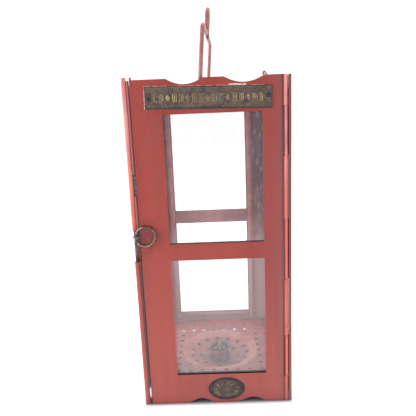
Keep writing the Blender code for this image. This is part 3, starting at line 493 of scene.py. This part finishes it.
def floor_paint():
    """The tray: faded pink, pale round the dish, with painted shade in the bowl, at the holes' rims and
    underneath, and spotted with wax.
    """
    graph = Graph("floor_paint")
    u, v = tray_place(graph)
    cloud = graph.noise(34, 5, 0.65)
    colour = graph.blend(graph.fade(cloud, 0.38, 0.66), TRAY, TRAY_DULL)
    out = length(graph, u, v)
    lip = graph.times(graph.band(out, 37 * MM, 47 * MM, 4 * MM), graph.fade(graph.noise(22, 2), 0.35, 0.6))
    colour = graph.blend(graph.times(lip, 0.6), colour, TRAY_LIP)
    # painted shade: darker in the bowl towards the socket
    bowl = graph.fade(out, 30 * MM, 10 * MM)
    colour = graph.blend(graph.times(bowl, 0.6), colour, TRAY_BOWL_SHADE)
    smudged = graph.fade(graph.noise(48, 3, 0.6, (1, 1, 1), 4.2), 0.52, 0.62)
    smudge = graph.times(graph.band(out, 16 * MM, 31 * MM, 3 * MM), smudged)
    colour = graph.blend(graph.times(smudge, 0.55), colour, TRAY_SMUDGE)
    fine = graph.noise(330, 4, 0.7)
    colour = graph.blend(graph.times(graph.fade(fine, 0.5, 0.7), 0.35), colour, TRAY_GRAIN)
    # painted shade at the rims of the front holes
    colour = graph.blend(graph.times(hole_shade(graph, u, v), 0.85), colour, HOLE_RIM_SHADE)
    colour = graph.blend(bright_rims(graph, u, v), colour, BRIGHT_RIM)
    splashed = graph.fade(graph.noise(50, 2, 0.5, (1, 1, 1), 2.0), 0.5, 0.6)
    colour = graph.blend(graph.times(graph.spots(95, 0.2), splashed, 0.5), colour, WAX)
    # painted shade on the faces that look down
    below = graph.fade(graph.facing()[2], -0.2, -0.4)
    colour = graph.blend(graph.times(below, 0.6), colour, TRAY_UNDER_SHADE)
    normal = graph.bump(graph.noise(300, 4, 0.6), 0.2 * MM)
    graph.set(Base_Color=colour, Roughness=0.42, Normal=normal)
    return graph.material


def socket_paint():
    """The candle cup: sooty, and near black inside."""
    graph = Graph("socket_paint")
    u, v = tray_place(graph)
    colour = graph.blend(graph.fade(graph.noise(120, 4, 0.65), 0.35, 0.65), CUP, CUP_DARK)
    inner = graph.fade(length(graph, u, v), SOCKET_R - 0.1 * MM, SOCKET_R - 0.3 * MM)
    colour = graph.blend(graph.times(inner, 0.9), colour, CUP_INSIDE)
    normal = graph.bump(graph.noise(420, 4, 0.6), 0.15 * MM)
    graph.set(Base_Color=colour, Roughness=0.5, Normal=normal)
    return graph.material


def glass(name, sill_shade_and_dirt):
    """Old window glass: it passes light, mirrors more at a slant, and has a thin haze of dust.

    The last argument, 0 or 1, says whether the glass is darkened along the bottom of the windows and at
    the bar between them: painted shade of the gaps where the panes sit, with dirt."""
    graph = Graph(name)
    dust = graph.fade(graph.noise(24, 5, 0.7), 0.35, 0.75)
    streak = graph.fade(graph.noise(60, 3, 0.6, (1, 1, 0.12)), 0.4, 0.8)
    low = graph.fade(graph.z, 0.18, 0.03)
    haze = graph.math("ADD", 0.03, graph.times(dust, 0.025))
    haze = graph.math("ADD", haze, graph.times(streak, 0.02))
    haze = graph.math("ADD", haze, graph.times(low, 0.085))
    lower, upper = WINDOW_SILLS
    # painted shade and dirt along the sills
    bottom = graph.fade(graph.z, lower + 1.7 * MM, lower + 1.2 * MM)
    middle = graph.band(graph.z, upper - 0.6 * MM, upper + 0.7 * MM, 0.25 * MM)
    darkening = graph.times(graph.math("MAXIMUM", bottom, middle), sill_shade_and_dirt)
    haze = graph.math("MAXIMUM", haze, graph.times(darkening, 0.97))
    mirror = graph.node("ShaderNodeLayerWeight", Blend=0.12).outputs["Fresnel"]
    share = graph.math("ADD", haze, graph.times(mirror, 0.5), True)
    clear = graph.node("ShaderNodeBsdfTransparent", Color=(0.985, 0.985, 0.985))
    graph.set(Base_Color=graph.blend(darkening, DUST, GRIME_AND_SHADE), Roughness=0.12, Specular_IOR_Level=0.6)
    mix = graph.node("ShaderNodeMixShader", Fac=share)
    graph.tree.links.new(clear.outputs[0], mix.inputs[1])
    graph.tree.links.new(graph.shader.outputs[0], mix.inputs[2])
    graph.tree.links.new(mix.outputs[0], graph.output.inputs["Surface"])
    return graph.material


def aged_brass(graph, top, depth, polish, edge, dull=0.0):
    """Dark brown tarnish with brass worn bright on what stands proud, and a dark edge.

    top is the highest face's y. polish says how much is worn, edge where it is dark and dull how much
    darker the tarnish is, each from 0 to 1."""
    cloud = graph.noise(110, 5, 0.65)
    fine = graph.noise(900, 3, 0.6)
    colour = graph.blend(graph.fade(cloud, 0.35, 0.65), TARNISH, TARNISH_DARK)
    swirl = graph.band(graph.noise(230, 2, 0.5, (1, 1, 1), 1.4), 0.47, 0.52, 0.02)
    colour = graph.blend(graph.times(swirl, 0.45), colour, TARNISH_SWIRL)
    colour = graph.blend(graph.times(graph.fade(fine, 0.5, 0.7), 0.5), colour, TARNISH_GRAIN)
    colour = graph.blend(dull, colour, TARNISH_BLACK)
    proud = graph.fade(graph.y, top + depth, top + 0.25 * depth)
    worn = graph.times(proud, graph.fade(graph.noise(150, 5, 0.75, (1, 1, 1), 5.3), 0.38, 0.60), polish)
    colour = graph.blend(worn, colour, BRASS)
    colour = graph.blend(graph.times(edge, 0.8), colour, BRASS_EDGE)
    rough = graph.math("SUBTRACT", 0.52, graph.times(worn, 0.2))
    graph.set(Base_Color=colour, Roughness=rough, Metallic=0.75, Normal=graph.bump(fine, 0.08 * MM))
    return graph.material


def plate_brass():
    graph = Graph("plate_brass")
    u, v = plate_place(graph)
    far = graph.math("ABSOLUTE", u)
    half_u, half_v = PLATE_HALF
    lower = graph.fade(v, 1.9 * MM - half_v, 0.9 * MM - half_v)
    edge = graph.math("MAXIMUM", lower, graph.fade(v, half_v - 1.3 * MM, half_v - 0.6 * MM))
    edge = graph.math("MAXIMUM", edge, graph.fade(far, half_u - 1.2 * MM, half_u - 0.5 * MM))
    polish = graph.math("ADD", 0.3, graph.times(graph.fade(far, 14 * MM, 36 * MM), 0.65))
    return aged_brass(graph, PLATE[0].y, 0.45 * PLATE_THICK, polish, edge)


def badge_brass():
    graph = Graph("badge_brass")
    middle, half = (BADGE[0] + BADGE[1]) / 2, (BADGE[1] - BADGE[0]) / 2
    u = graph.math("DIVIDE", graph.math("SUBTRACT", graph.x, middle.x), half.x)
    v = graph.math("DIVIDE", graph.math("SUBTRACT", graph.z, middle.z), half.z)
    edge = graph.fade(length(graph, u, v), 0.74, 0.86)
    return aged_brass(graph, BADGE[0].y, 0.4 * 2 * half.y, 0.9, edge, 0.55)


def steel(name, base, tarnish, rough=0.3):
    graph = Graph(name)
    cloud = graph.noise(180, 5, 0.65)
    brushed = graph.noise(1400, 2, 0.5, (1, 1, 0.1))
    colour = graph.blend(graph.fade(cloud, 0.4, 0.62), base, tarnish)
    uneven = graph.math("ADD", rough, graph.times(graph.fade(cloud, 0.3, 0.7), 0.25))
    graph.set(Base_Color=colour, Roughness=uneven, Metallic=0.9, Normal=graph.bump(brushed, 0.04 * MM))
    return graph.material


def wire_paint():
    """Bail and bent pin: dull pinkish red, worn unevenly, paler at the rear."""
    graph = Graph("wire_paint")
    colour = graph.blend(graph.fade(graph.noise(70, 4, 0.65), 0.35, 0.65), WIRE, WIRE_PALE)
    colour = graph.blend(graph.times(graph.fade(graph.y, 0.02, 0.05), 0.6), colour, WIRE_REAR)
    worn = graph.fade(graph.noise(210, 4, 0.7), 0.56, 0.66)
    colour = graph.blend(graph.times(worn, 0.6), colour, WIRE_WORN)
    graph.set(Base_Color=colour, Roughness=0.3, Normal=graph.bump(graph.noise(500, 3), 0.1 * MM))
    return graph.material


# ------------------------------------------------------- carried-over CAD nodes

def weld_group():
    """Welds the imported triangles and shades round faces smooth, leaving edges over 32 degrees sharp."""
    group = bpy.data.node_groups.new("weld_and_smooth", "GeometryNodeTree")
    group.interface.new_socket("Geometry", in_out="INPUT", socket_type="NodeSocketGeometry")
    group.interface.new_socket("Geometry", in_out="OUTPUT", socket_type="NodeSocketGeometry")
    nodes, links = group.nodes, group.links
    start, end = nodes.new("NodeGroupInput"), nodes.new("NodeGroupOutput")
    merge = nodes.new("GeometryNodeMergeByDistance")
    merge.inputs["Distance"].default_value = 1e-6
    normal = nodes.new("GeometryNodeSetMeshNormal")
    normal.mode = "SHARPNESS"
    normal.inputs["Remove Custom"].default_value = True
    angle = nodes.new("GeometryNodeInputMeshEdgeAngle")
    sharp = nodes.new("FunctionNodeCompare")
    sharp.operation = "GREATER_THAN"
    sharp.inputs["B"].default_value = math.radians(32)
    links.new(angle.outputs["Unsigned Angle"], sharp.inputs["A"])
    links.new(sharp.outputs["Result"], normal.inputs["Edge Sharpness"])
    links.new(start.outputs[0], merge.inputs["Geometry"])
    links.new(merge.outputs["Geometry"], normal.inputs["Mesh"])
    links.new(normal.outputs["Mesh"], end.inputs[0])
    return group


WELD = weld_group()


def dress(material, *names, bevel=0.0):
    """Gives CAD nodes a material and smooth shading, and rounds their edges a little."""
    for name in names:
        node = frame["nodes"][name]
        node.data.materials.clear()
        node.data.materials.append(material)
        node.modifiers.new("weld", "NODES").node_group = WELD
        if bevel:
            round_off = node.modifiers.new("round_off", "BEVEL")
            round_off.width = bevel
            round_off.segments = 2
            round_off.limit_method = "ANGLE"
            round_off.angle_limit = math.radians(40)
            node.modifiers.new("smooth", "NODES").node_group = WELD


# --------------------------------------------------------------- fine new pieces

def new_piece(name, mesh, material, body, slot, *replaced):
    """Turns a bmesh into a shown piece on a body, in place of CAD nodes."""
    bmesh.ops.recalc_face_normals(mesh, faces=mesh.faces)
    data = bpy.data.meshes.new(name)
    mesh.to_mesh(data)
    mesh.free()
    data.materials.append(material)
    data.shade_smooth()
    data.set_sharp_from_angle(angle=math.radians(50))
    piece = bpy.data.objects.new(name, data)
    bpy.context.scene.collection.objects.link(piece)
    return place_piece(piece, body, slot, *replaced)


def place_piece(piece, body, slot, *replaced):
    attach(piece, body)
    if replaced:
        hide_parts(*replaced)
    return piece


def wire(name, points, radius, material, body, slot, *replaced, closed=False):
    """A round wire on a smooth line through points."""
    curve = bpy.data.curves.new(name, "CURVE")
    curve.dimensions = "3D"
    curve.bevel_depth = radius
    curve.bevel_resolution = 5
    curve.use_fill_caps = True
    spline = curve.splines.new("POLY")
    spline.points.add(len(points) - 1)
    for point, place in zip(spline.points, points):
        point.co = (*place, 1)
    spline.use_cyclic_u = closed
    spline.use_smooth = True
    curve.materials.append(material)
    piece = bpy.data.objects.new(name, curve)
    bpy.context.scene.collection.objects.link(piece)
    return place_piece(piece, body, slot, *replaced)


def height_field(columns, rows, point):
    """A closed grid: point(i, j, 0) is a place on its back and point(i, j, 1) the one before it."""
    mesh = bmesh.new()
    sheets = []
    for side in (0, 1):
        grid = [[point(i, j, side) for i in range(columns)] for j in range(rows)]
        sheets.append([[mesh.verts.new(place) for place in row] for row in grid])
    for sheet in sheets:
        for j in range(rows - 1):
            for i in range(columns - 1):
                mesh.faces.new((sheet[j][i], sheet[j][i + 1], sheet[j + 1][i + 1], sheet[j + 1][i]))
    rim = [(i, 0) for i in range(columns)] + [(columns - 1, j) for j in range(1, rows)]
    rim += [(i, rows - 1) for i in range(columns - 2, -1, -1)]
    rim += [(0, j) for j in range(rows - 2, 0, -1)]
    for (a, b), (c, d) in zip(rim, rim[1:] + rim[:1]):
        mesh.faces.new((sheets[0][b][a], sheets[0][d][c], sheets[1][d][c], sheets[1][b][a]))
    return mesh


def step(value, low, high):
    """Smooth 0 to 1 as value goes from low to high."""
    t = min(1.0, max(0.0, (value - low) / (high - low)))
    return t * t * (3 - 2 * t)


PLATE_THICK = PLATE[1].y - PLATE[0].y
ORNAMENT_PITCH = 6.4 * MM
ORNAMENT_HALF = 4.1 * MM
ORNAMENT_REACH = 8.2 * ORNAMENT_PITCH
REED_STEP = 1.7 * MM
REED_HALF = 0.55 * MM
LOZENGE_HALF = 2.4 * MM
PLATE_GRID = (330, 58)


def ornament(u, v):
    """Height share of a repeating pattern of reeds and lozenges along the plate's middle."""
    if abs(u) > ORNAMENT_REACH:
        return 0.0
    cell = math.floor(u / ORNAMENT_PITCH + 0.5)
    along = u - cell * ORNAMENT_PITCH
    if cell % 3:
        reed = min(abs(along - REED_STEP), abs(along), abs(along + REED_STEP))
        return step(REED_HALF - reed, 0, 0.3 * MM) * step(ORNAMENT_HALF - abs(v), 0, 0.6 * MM)
    return step(LOZENGE_HALF - abs(along) - 0.68 * abs(v), 0, 0.6 * MM)


def make_plate(material):
    """The brass plate: a rolled border, a band of raised ornament and slightly dented edges."""
    columns, rows = PLATE_GRID
    centre = (PLATE[0] + PLATE[1]) / 2
    turn = Matrix.Rotation(PLATE_TILT, 2)

    def point(i, j, side):
        u = (2 * i / (columns - 1) - 1) * PLATE_HALF[0]
        v = (2 * j / (rows - 1) - 1) * PLATE_HALF[1]
        edge = min(PLATE_HALF[0] - abs(u), PLATE_HALF[1] - abs(v))
        border = 0.6 * step(edge, 0, 0.3 * MM) * (1 - 0.75 * step(edge, 1.0 * MM, 1.7 * MM))
        wave = 0.06 * math.sin(u * 190) * math.cos(v * 240 + 1)
        ground = 0.35 + 0.5 * border + wave * step(edge, 2 * MM, 4 * MM)
        share = max(ground, 0.42 + 0.58 * ornament(u, v) * step(edge, 2 * MM, 3 * MM))
        if edge <= 1e-6:
            share = 0.3
        flat = turn @ Vector((u, v))
        back = PLATE[1].y
        return (centre.x + flat.x, back - side * PLATE_THICK * min(1.0, share), centre.z + flat.y)

    plate = height_field(columns, rows, point)
    return new_piece("name_plate_fine", plate, material, "door", "aged_brass", "name_plate")


BADGE_RINGS = 44
BADGE_SPOKES = 180
BEADS = 60
RAYS = 26
STROKES = 11


def make_badge(material):
    """The oval badge: a beaded rim round a domed field, with a boss, rays below and strokes above."""
    centre, half = (BADGE[0] + BADGE[1]) / 2, (BADGE[1] - BADGE[0]) / 2
    rings, spokes = BADGE_RINGS, BADGE_SPOKES
    deep = BADGE[1].y - BADGE[0].y
    mesh = bmesh.new()

    def height(r, a):
        rim = step(r, 0.80, 0.86) * (1 - step(r, 0.93, 1.0))
        bead = 0.12 * math.cos(a * BEADS) * rim
        field = 0.38 + 0.16 * (1 - r * r)
        lower = step(-math.sin(a), -0.1, 0.45)
        in_rays = step(r, 0.42, 0.52) * (1 - step(r, 0.72, 0.79)) * lower
        rays = 0.34 * (0.5 + 0.5 * math.cos(a * RAYS)) * in_rays
        boss = 0.12 * (1 - step(r, 0.28, 0.36))
        in_strokes = step(r, 0.3, 0.4) * (1 - step(r, 0.7, 0.78)) * (1 - lower)
        strokes = 0.3 * max(0.0, math.sin(a * STROKES + 9 * r)) * in_strokes
        raised = field + rays + strokes + boss + 0.3 * rim + bead
        return min(1.0, max(0.22, raised - 0.2 * step(r, 0.93, 1.0)))

    def place(r, a, side):
        y = BADGE[1].y - deep * height(r, a) * side
        return (centre.x + half.x * r * math.cos(a), y, centre.z + half.z * r * math.sin(a))

    sheets = []
    for side in (0, 1):
        hub = mesh.verts.new(place(0, 0, side))
        loops = []
        turns = [2 * math.pi * s / spokes for s in range(spokes)]
        for k in range(1, rings + 1):
            loops.append([mesh.verts.new(place(k / rings, a, side)) for a in turns])
        for s in range(spokes):
            mesh.faces.new((hub, loops[0][s], loops[0][(s + 1) % spokes]))
            for inner, outer in zip(loops, loops[1:]):
                mesh.faces.new((inner[s], outer[s], outer[(s + 1) % spokes], inner[(s + 1) % spokes]))
        sheets.append(loops[-1])
    for s in range(spokes):
        t = (s + 1) % spokes
        mesh.faces.new((sheets[0][s], sheets[0][t], sheets[1][t], sheets[1][s]))
    return new_piece("oval_badge_fine", mesh, material, "door", "aged_brass", "oval_badge")


RIVET_SHANK = 1.0 * MM
RIVET_TAIL = 1.9 * MM
RIVET_DOME = 1.0 * MM
RIVET_STEPS = 8


def make_rivet(node, material):
    """A plate rivet: a domed head in front, its shank, and a clinched tail."""
    low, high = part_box(node)
    centre = (low + high) / 2
    head = (high.x - low.x) / 2
    face = low.y + RIVET_DOME
    profile = [(0.0, low.y)]
    for i in range(1, RIVET_STEPS + 1):
        a = math.pi / 2 * i / RIVET_STEPS
        profile.append((head * math.sin(a), face - (face - low.y) * math.cos(a)))
    profile += [(RIVET_SHANK, face), (RIVET_SHANK, high.y - MM), (RIVET_TAIL, high.y - MM)]
    profile += [(RIVET_TAIL * 0.8, high.y - 0.2 * MM), (0.0, high.y)]
    return turned(f"{node}_fine", profile, centre, material, "door", "dark_steel", node)


def turned(name, profile, centre, material, body, slot, *replaced, steps=40):
    """A profile of (radius, y) turned about the level line through centre that runs front to back."""
    mesh = bmesh.new()
    loops = []
    for radius, y in profile:
        if radius == 0.0:
            loops.append([mesh.verts.new((centre.x, y, centre.z))])
            continue
        turns = [2 * math.pi * s / steps for s in range(steps)]
        circle = [(centre.x + radius * math.cos(a), y, centre.z + radius * math.sin(a)) for a in turns]
        loops.append([mesh.verts.new(place) for place in circle])
    for a, b in zip(loops, loops[1:]):
        for s in range(steps):
            t = (s + 1) % steps
            corners = [a[s % len(a)], a[t % len(a)], b[t % len(b)], b[s % len(b)]]
            mesh.faces.new(list(dict.fromkeys(corners)))
    return new_piece(name, mesh, material, body, slot, *replaced)


RING_STEPS = 96
OUT_OF_ROUND = 0.12 * MM


def make_ring(material):
    """The ring pull: one turn of wire, very slightly out of round."""
    centre = (RING[0] + RING[1]) / 2
    wire_r = (RING[1].y - RING[0].y) / 2
    radius = (RING[1].x - RING[0].x) / 2 - wire_r
    points = []
    for i in range(RING_STEPS):
        a = 2 * math.pi * i / RING_STEPS
        out = radius - OUT_OF_ROUND * (1 + math.cos(2 * a + 0.8))
        points.append((centre.x + out * math.cos(a), centre.y, centre.z + out * math.sin(a)))
    names = ("pull_ring", "dark_steel", "pull_ring")
    return wire("pull_ring_fine", points, wire_r, material, *names, closed=True)


BAIL_R = 2.0 * MM
BAIL_SPAN = 132.65 * MM
BAIL_RISE = 56 * MM
BAIL_LEAN = math.radians(4.8)
BAIL_BEND = 6 * MM
BAIL_HOOK_BEND = 2.2 * MM
BAIL_STUB = 7 * MM
LOOP_R = 11 * MM
LOOP_RISE = 26 * MM
LOOP_FOOT = 9.5 * MM
LOOP_START = 232
LOOP_TURN = 284
LOOP_STEPS = 48


def bend(corner, before, after, radius, steps=10):
    """Points of a round bend at a corner between two directions at right angles."""
    centre = corner - before * radius + after * radius
    turns = [math.pi / 2 * i / steps for i in range(steps + 1)]
    return [centre - after * radius * math.cos(a) + before * radius * math.sin(a) for a in turns]


def make_bail(material):
    """The wire bail, as the frame has it, with rounder bends."""
    joint = JOINTS["bail_swing"]
    front, along = Vector(joint["pos_m"]), Vector(joint["axis"]).normalized()
    rear = front + along * BAIL_SPAN
    side = Vector((along.y, -along.x, 0))
    up = Vector((0, 0, 1)) * math.cos(BAIL_LEAN) + side * math.sin(BAIL_LEAN)
    top_front, top_rear = front + up * BAIL_RISE, rear + up * BAIL_RISE
    middle = (top_front + top_rear) / 2
    loop = middle + up * (LOOP_RISE - LOOP_R)
    points = [front + along * BAIL_STUB, *bend(front, -along, up, BAIL_HOOK_BEND, 6)]
    points += bend(top_front, up, along, BAIL_BEND)
    points += [middle - along * (LOOP_FOOT + 3 * MM), middle - along * LOOP_FOOT + up * MM]
    for i in range(LOOP_STEPS + 1):
        a = math.radians(LOOP_START - LOOP_TURN * i / LOOP_STEPS)
        points.append(loop + along * LOOP_R * math.cos(a) + up * LOOP_R * math.sin(a))
    points += [middle + along * LOOP_FOOT + up * MM, middle + along * (LOOP_FOOT + 3 * MM)]
    points += bend(top_rear, along, -up, BAIL_BEND)
    points += [*bend(rear, -up, -along, BAIL_HOOK_BEND, 6), rear - along * BAIL_STUB]
    return wire("bail_fine", points, BAIL_R, material, "bail", "red_paint", "bail")


# ------------------------------------------------------------- camera and studio

CAMERA_PLACE = (0.0059, -0.5170, 0.3155)
CAMERA_TURN = (77.786, 2.296, 0.649)
CAMERA_LENS = 38.73
SEEN_WHITE = 1.12
# the floor's glow round the lantern, and its painted shadow colour under it
GLOW = 0.48
UNDER_SHADOW = (0.22, 0.23, 0.27)
TARGET = (0, 0, 0.2)
LIGHTS = [
    ("key", (-0.9, -0.9, 1.1), (0.8, 0.8), 6),
    ("left_strip", (-1.2, -0.45, 0.4), (0.35, 1.2), 8),
    ("right_strip", (1.1, -0.35, 0.5), (0.35, 1.2), 3.5),
    ("top", (0.1, 0.2, 1.5), (1.2, 1.2), 6),
]

def aim_camera():
    camera = bpy.data.objects.new("camera", bpy.data.cameras.new("camera"))
    bpy.context.scene.collection.objects.link(camera)
    camera.location = CAMERA_PLACE
    camera.rotation_euler = [math.radians(a) for a in CAMERA_TURN]
    camera.data.sensor_width = 36
    camera.data.lens = CAMERA_LENS
    camera.data.clip_start = 0.01
    bpy.context.scene.camera = camera


def beside_lantern(graph):
    """0 under the lantern and 1 round it."""
    out = graph.math("MAXIMUM", graph.math("ABSOLUTE", graph.x), graph.math("ABSOLUTE", graph.y))
    return graph.fade(out, 76 * MM, 86 * MM)


def make_floor():
    mesh = bmesh.new()
    bmesh.ops.create_circle(mesh, cap_ends=True, radius=4.0, segments=64)
    data = bpy.data.meshes.new("studio_floor")
    mesh.to_mesh(data)
    mesh.free()
    floor = bpy.data.objects.new("studio_floor", data)
    bpy.context.scene.collection.objects.link(floor)
    graph = Graph("studio_floor")
    # painted shadow: the floor darker under the lantern, while round it the floor glows white
    beside = beside_lantern(graph)
    ground = graph.blend(beside, UNDER_SHADOW, STUDIO_WHITE)
    graph.set(Base_Color=ground, Roughness=0.6, Specular_IOR_Level=0.2)
    graph.set(Emission_Color=(1.0, 1.0, 1.0), Emission_Strength=graph.times(beside, GLOW))
    data.materials.append(graph.material)


def area_light(name, place, size, power):
    light = bpy.data.lights.new(name, "AREA")
    light.shape = "RECTANGLE"
    light.size, light.size_y = size
    light.energy = power
    holder = bpy.data.objects.new(name, light)
    bpy.context.scene.collection.objects.link(holder)
    holder.location = place
    holder.rotation_euler = (Vector(TARGET) - Vector(place)).to_track_quat("-Z", "Y").to_euler()


def light_studio():
    """A white room: bright above and at the sides, a little darker where the camera stands."""
    scene = bpy.context.scene
    scene.view_settings.view_transform = "Standard"
    world = bpy.data.worlds.new("studio")
    scene.world = world
    world.use_nodes = True
    tree = world.node_tree
    background = tree.nodes["Background"]
    coords = tree.nodes.new("ShaderNodeTexCoord")
    split = tree.nodes.new("ShaderNodeSeparateXYZ")
    ramp = tree.nodes.new("ShaderNodeMapRange")
    ramp.inputs["From Min"].default_value = -1.0
    ramp.inputs["From Max"].default_value = 0.2
    ramp.inputs["To Min"].default_value = 0.4
    ramp.inputs["To Max"].default_value = 1.0
    seen = tree.nodes.new("ShaderNodeLightPath")
    strength = tree.nodes.new("ShaderNodeMix")
    strength.inputs["B"].default_value = SEEN_WHITE
    tree.links.new(coords.outputs["Generated"], split.inputs[0])
    tree.links.new(split.outputs["Y"], ramp.inputs["Value"])
    tree.links.new(ramp.outputs["Result"], strength.inputs["A"])
    tree.links.new(seen.outputs["Is Camera Ray"], strength.inputs["Factor"])
    tree.links.new(strength.outputs["Result"], background.inputs["Strength"])
    background.inputs["Color"].default_value = (1, 1, 1, 1)
    for light in LIGHTS:
        area_light(*light)


# ------------------------------------------------------------------------ scene

def main():
    aim_camera()
    make_floor()
    light_studio()
    walls = wall_paint("wall_paint")
    door = door_paint()
    inner = inner_paint("inner_paint")
    floor = floor_paint()
    clear_pane, door_pane = glass("pane_glass", 0.0), glass("door_glass", 1.0)
    bare = steel("dark_steel", (0.16, 0.15, 0.15), (0.07, 0.06, 0.055), 0.35)
    bright = steel("ring_steel", (0.27, 0.225, 0.18), (0.085, 0.06, 0.045), 0.2)
    blued = steel("blued_rivet", (0.035, 0.045, 0.075), (0.05, 0.05, 0.06), 0.3)
    painted_wire = wire_paint()
    dress(wall_paint("back_wall_paint", lit_crossbar), "back_wall")
    dress(wall_paint("right_wall_paint", shaded_knuckles), "right_wall")
    dress(walls, "left_wall")
    dress(strip_paint(), "jamb_strip")
    dress(walls, "roof_plate", "bail_lug_front", "bail_lug_rear", bevel=0.15 * MM)
    dress(door, "door_panel")
    # painted light: the back wall's channels lighter and redder, as lit from the windows
    lit_inner = inner_paint("lit_inner_paint", 0.75)
    across, along = ("left", "right"), ("front", "rear")
    for prefix, ends in (("back", across), ("left", along), ("right", along), ("door", across)):
        strips = [f"{prefix}_channel_{end}" for end in (*ends, "bottom")]
        dress(lit_inner if prefix == "back" else inner, *strips, bevel=0.12 * MM)
        dress(door_pane if prefix == "door" else clear_pane, f"{prefix}_pane", bevel=0.3 * MM)
    sides = [(side, level) for side in across for level in ("floor", "roof")]
    dress(inner, *[f"{side}_{level}_ledge" for side, level in sides], bevel=0.15 * MM)
    dress(inner, *[f"{level}_hinge_bracket_{side}" for side, level in sides])
    dress(floor, "floor_tray")
    dress(socket_paint(), "candle_socket")
    dress(bare, "rear_left_hinge_pin", "door_hinge_pin", "jamb_rod")
    dress(bare, "floor_hinge_rod", "roof_hinge_rod")
    dress(bare, "door_catch_upper", "door_catch_lower", "socket_rivet")
    dress(painted_wire, "rear_right_hinge_pin")
    make_plate(plate_brass())
    make_badge(badge_brass())
    make_rivet("name_plate_rivet_left", blued)
    make_rivet("name_plate_rivet_right", blued)
    make_ring(bright)
    make_bail(painted_wire)


main()
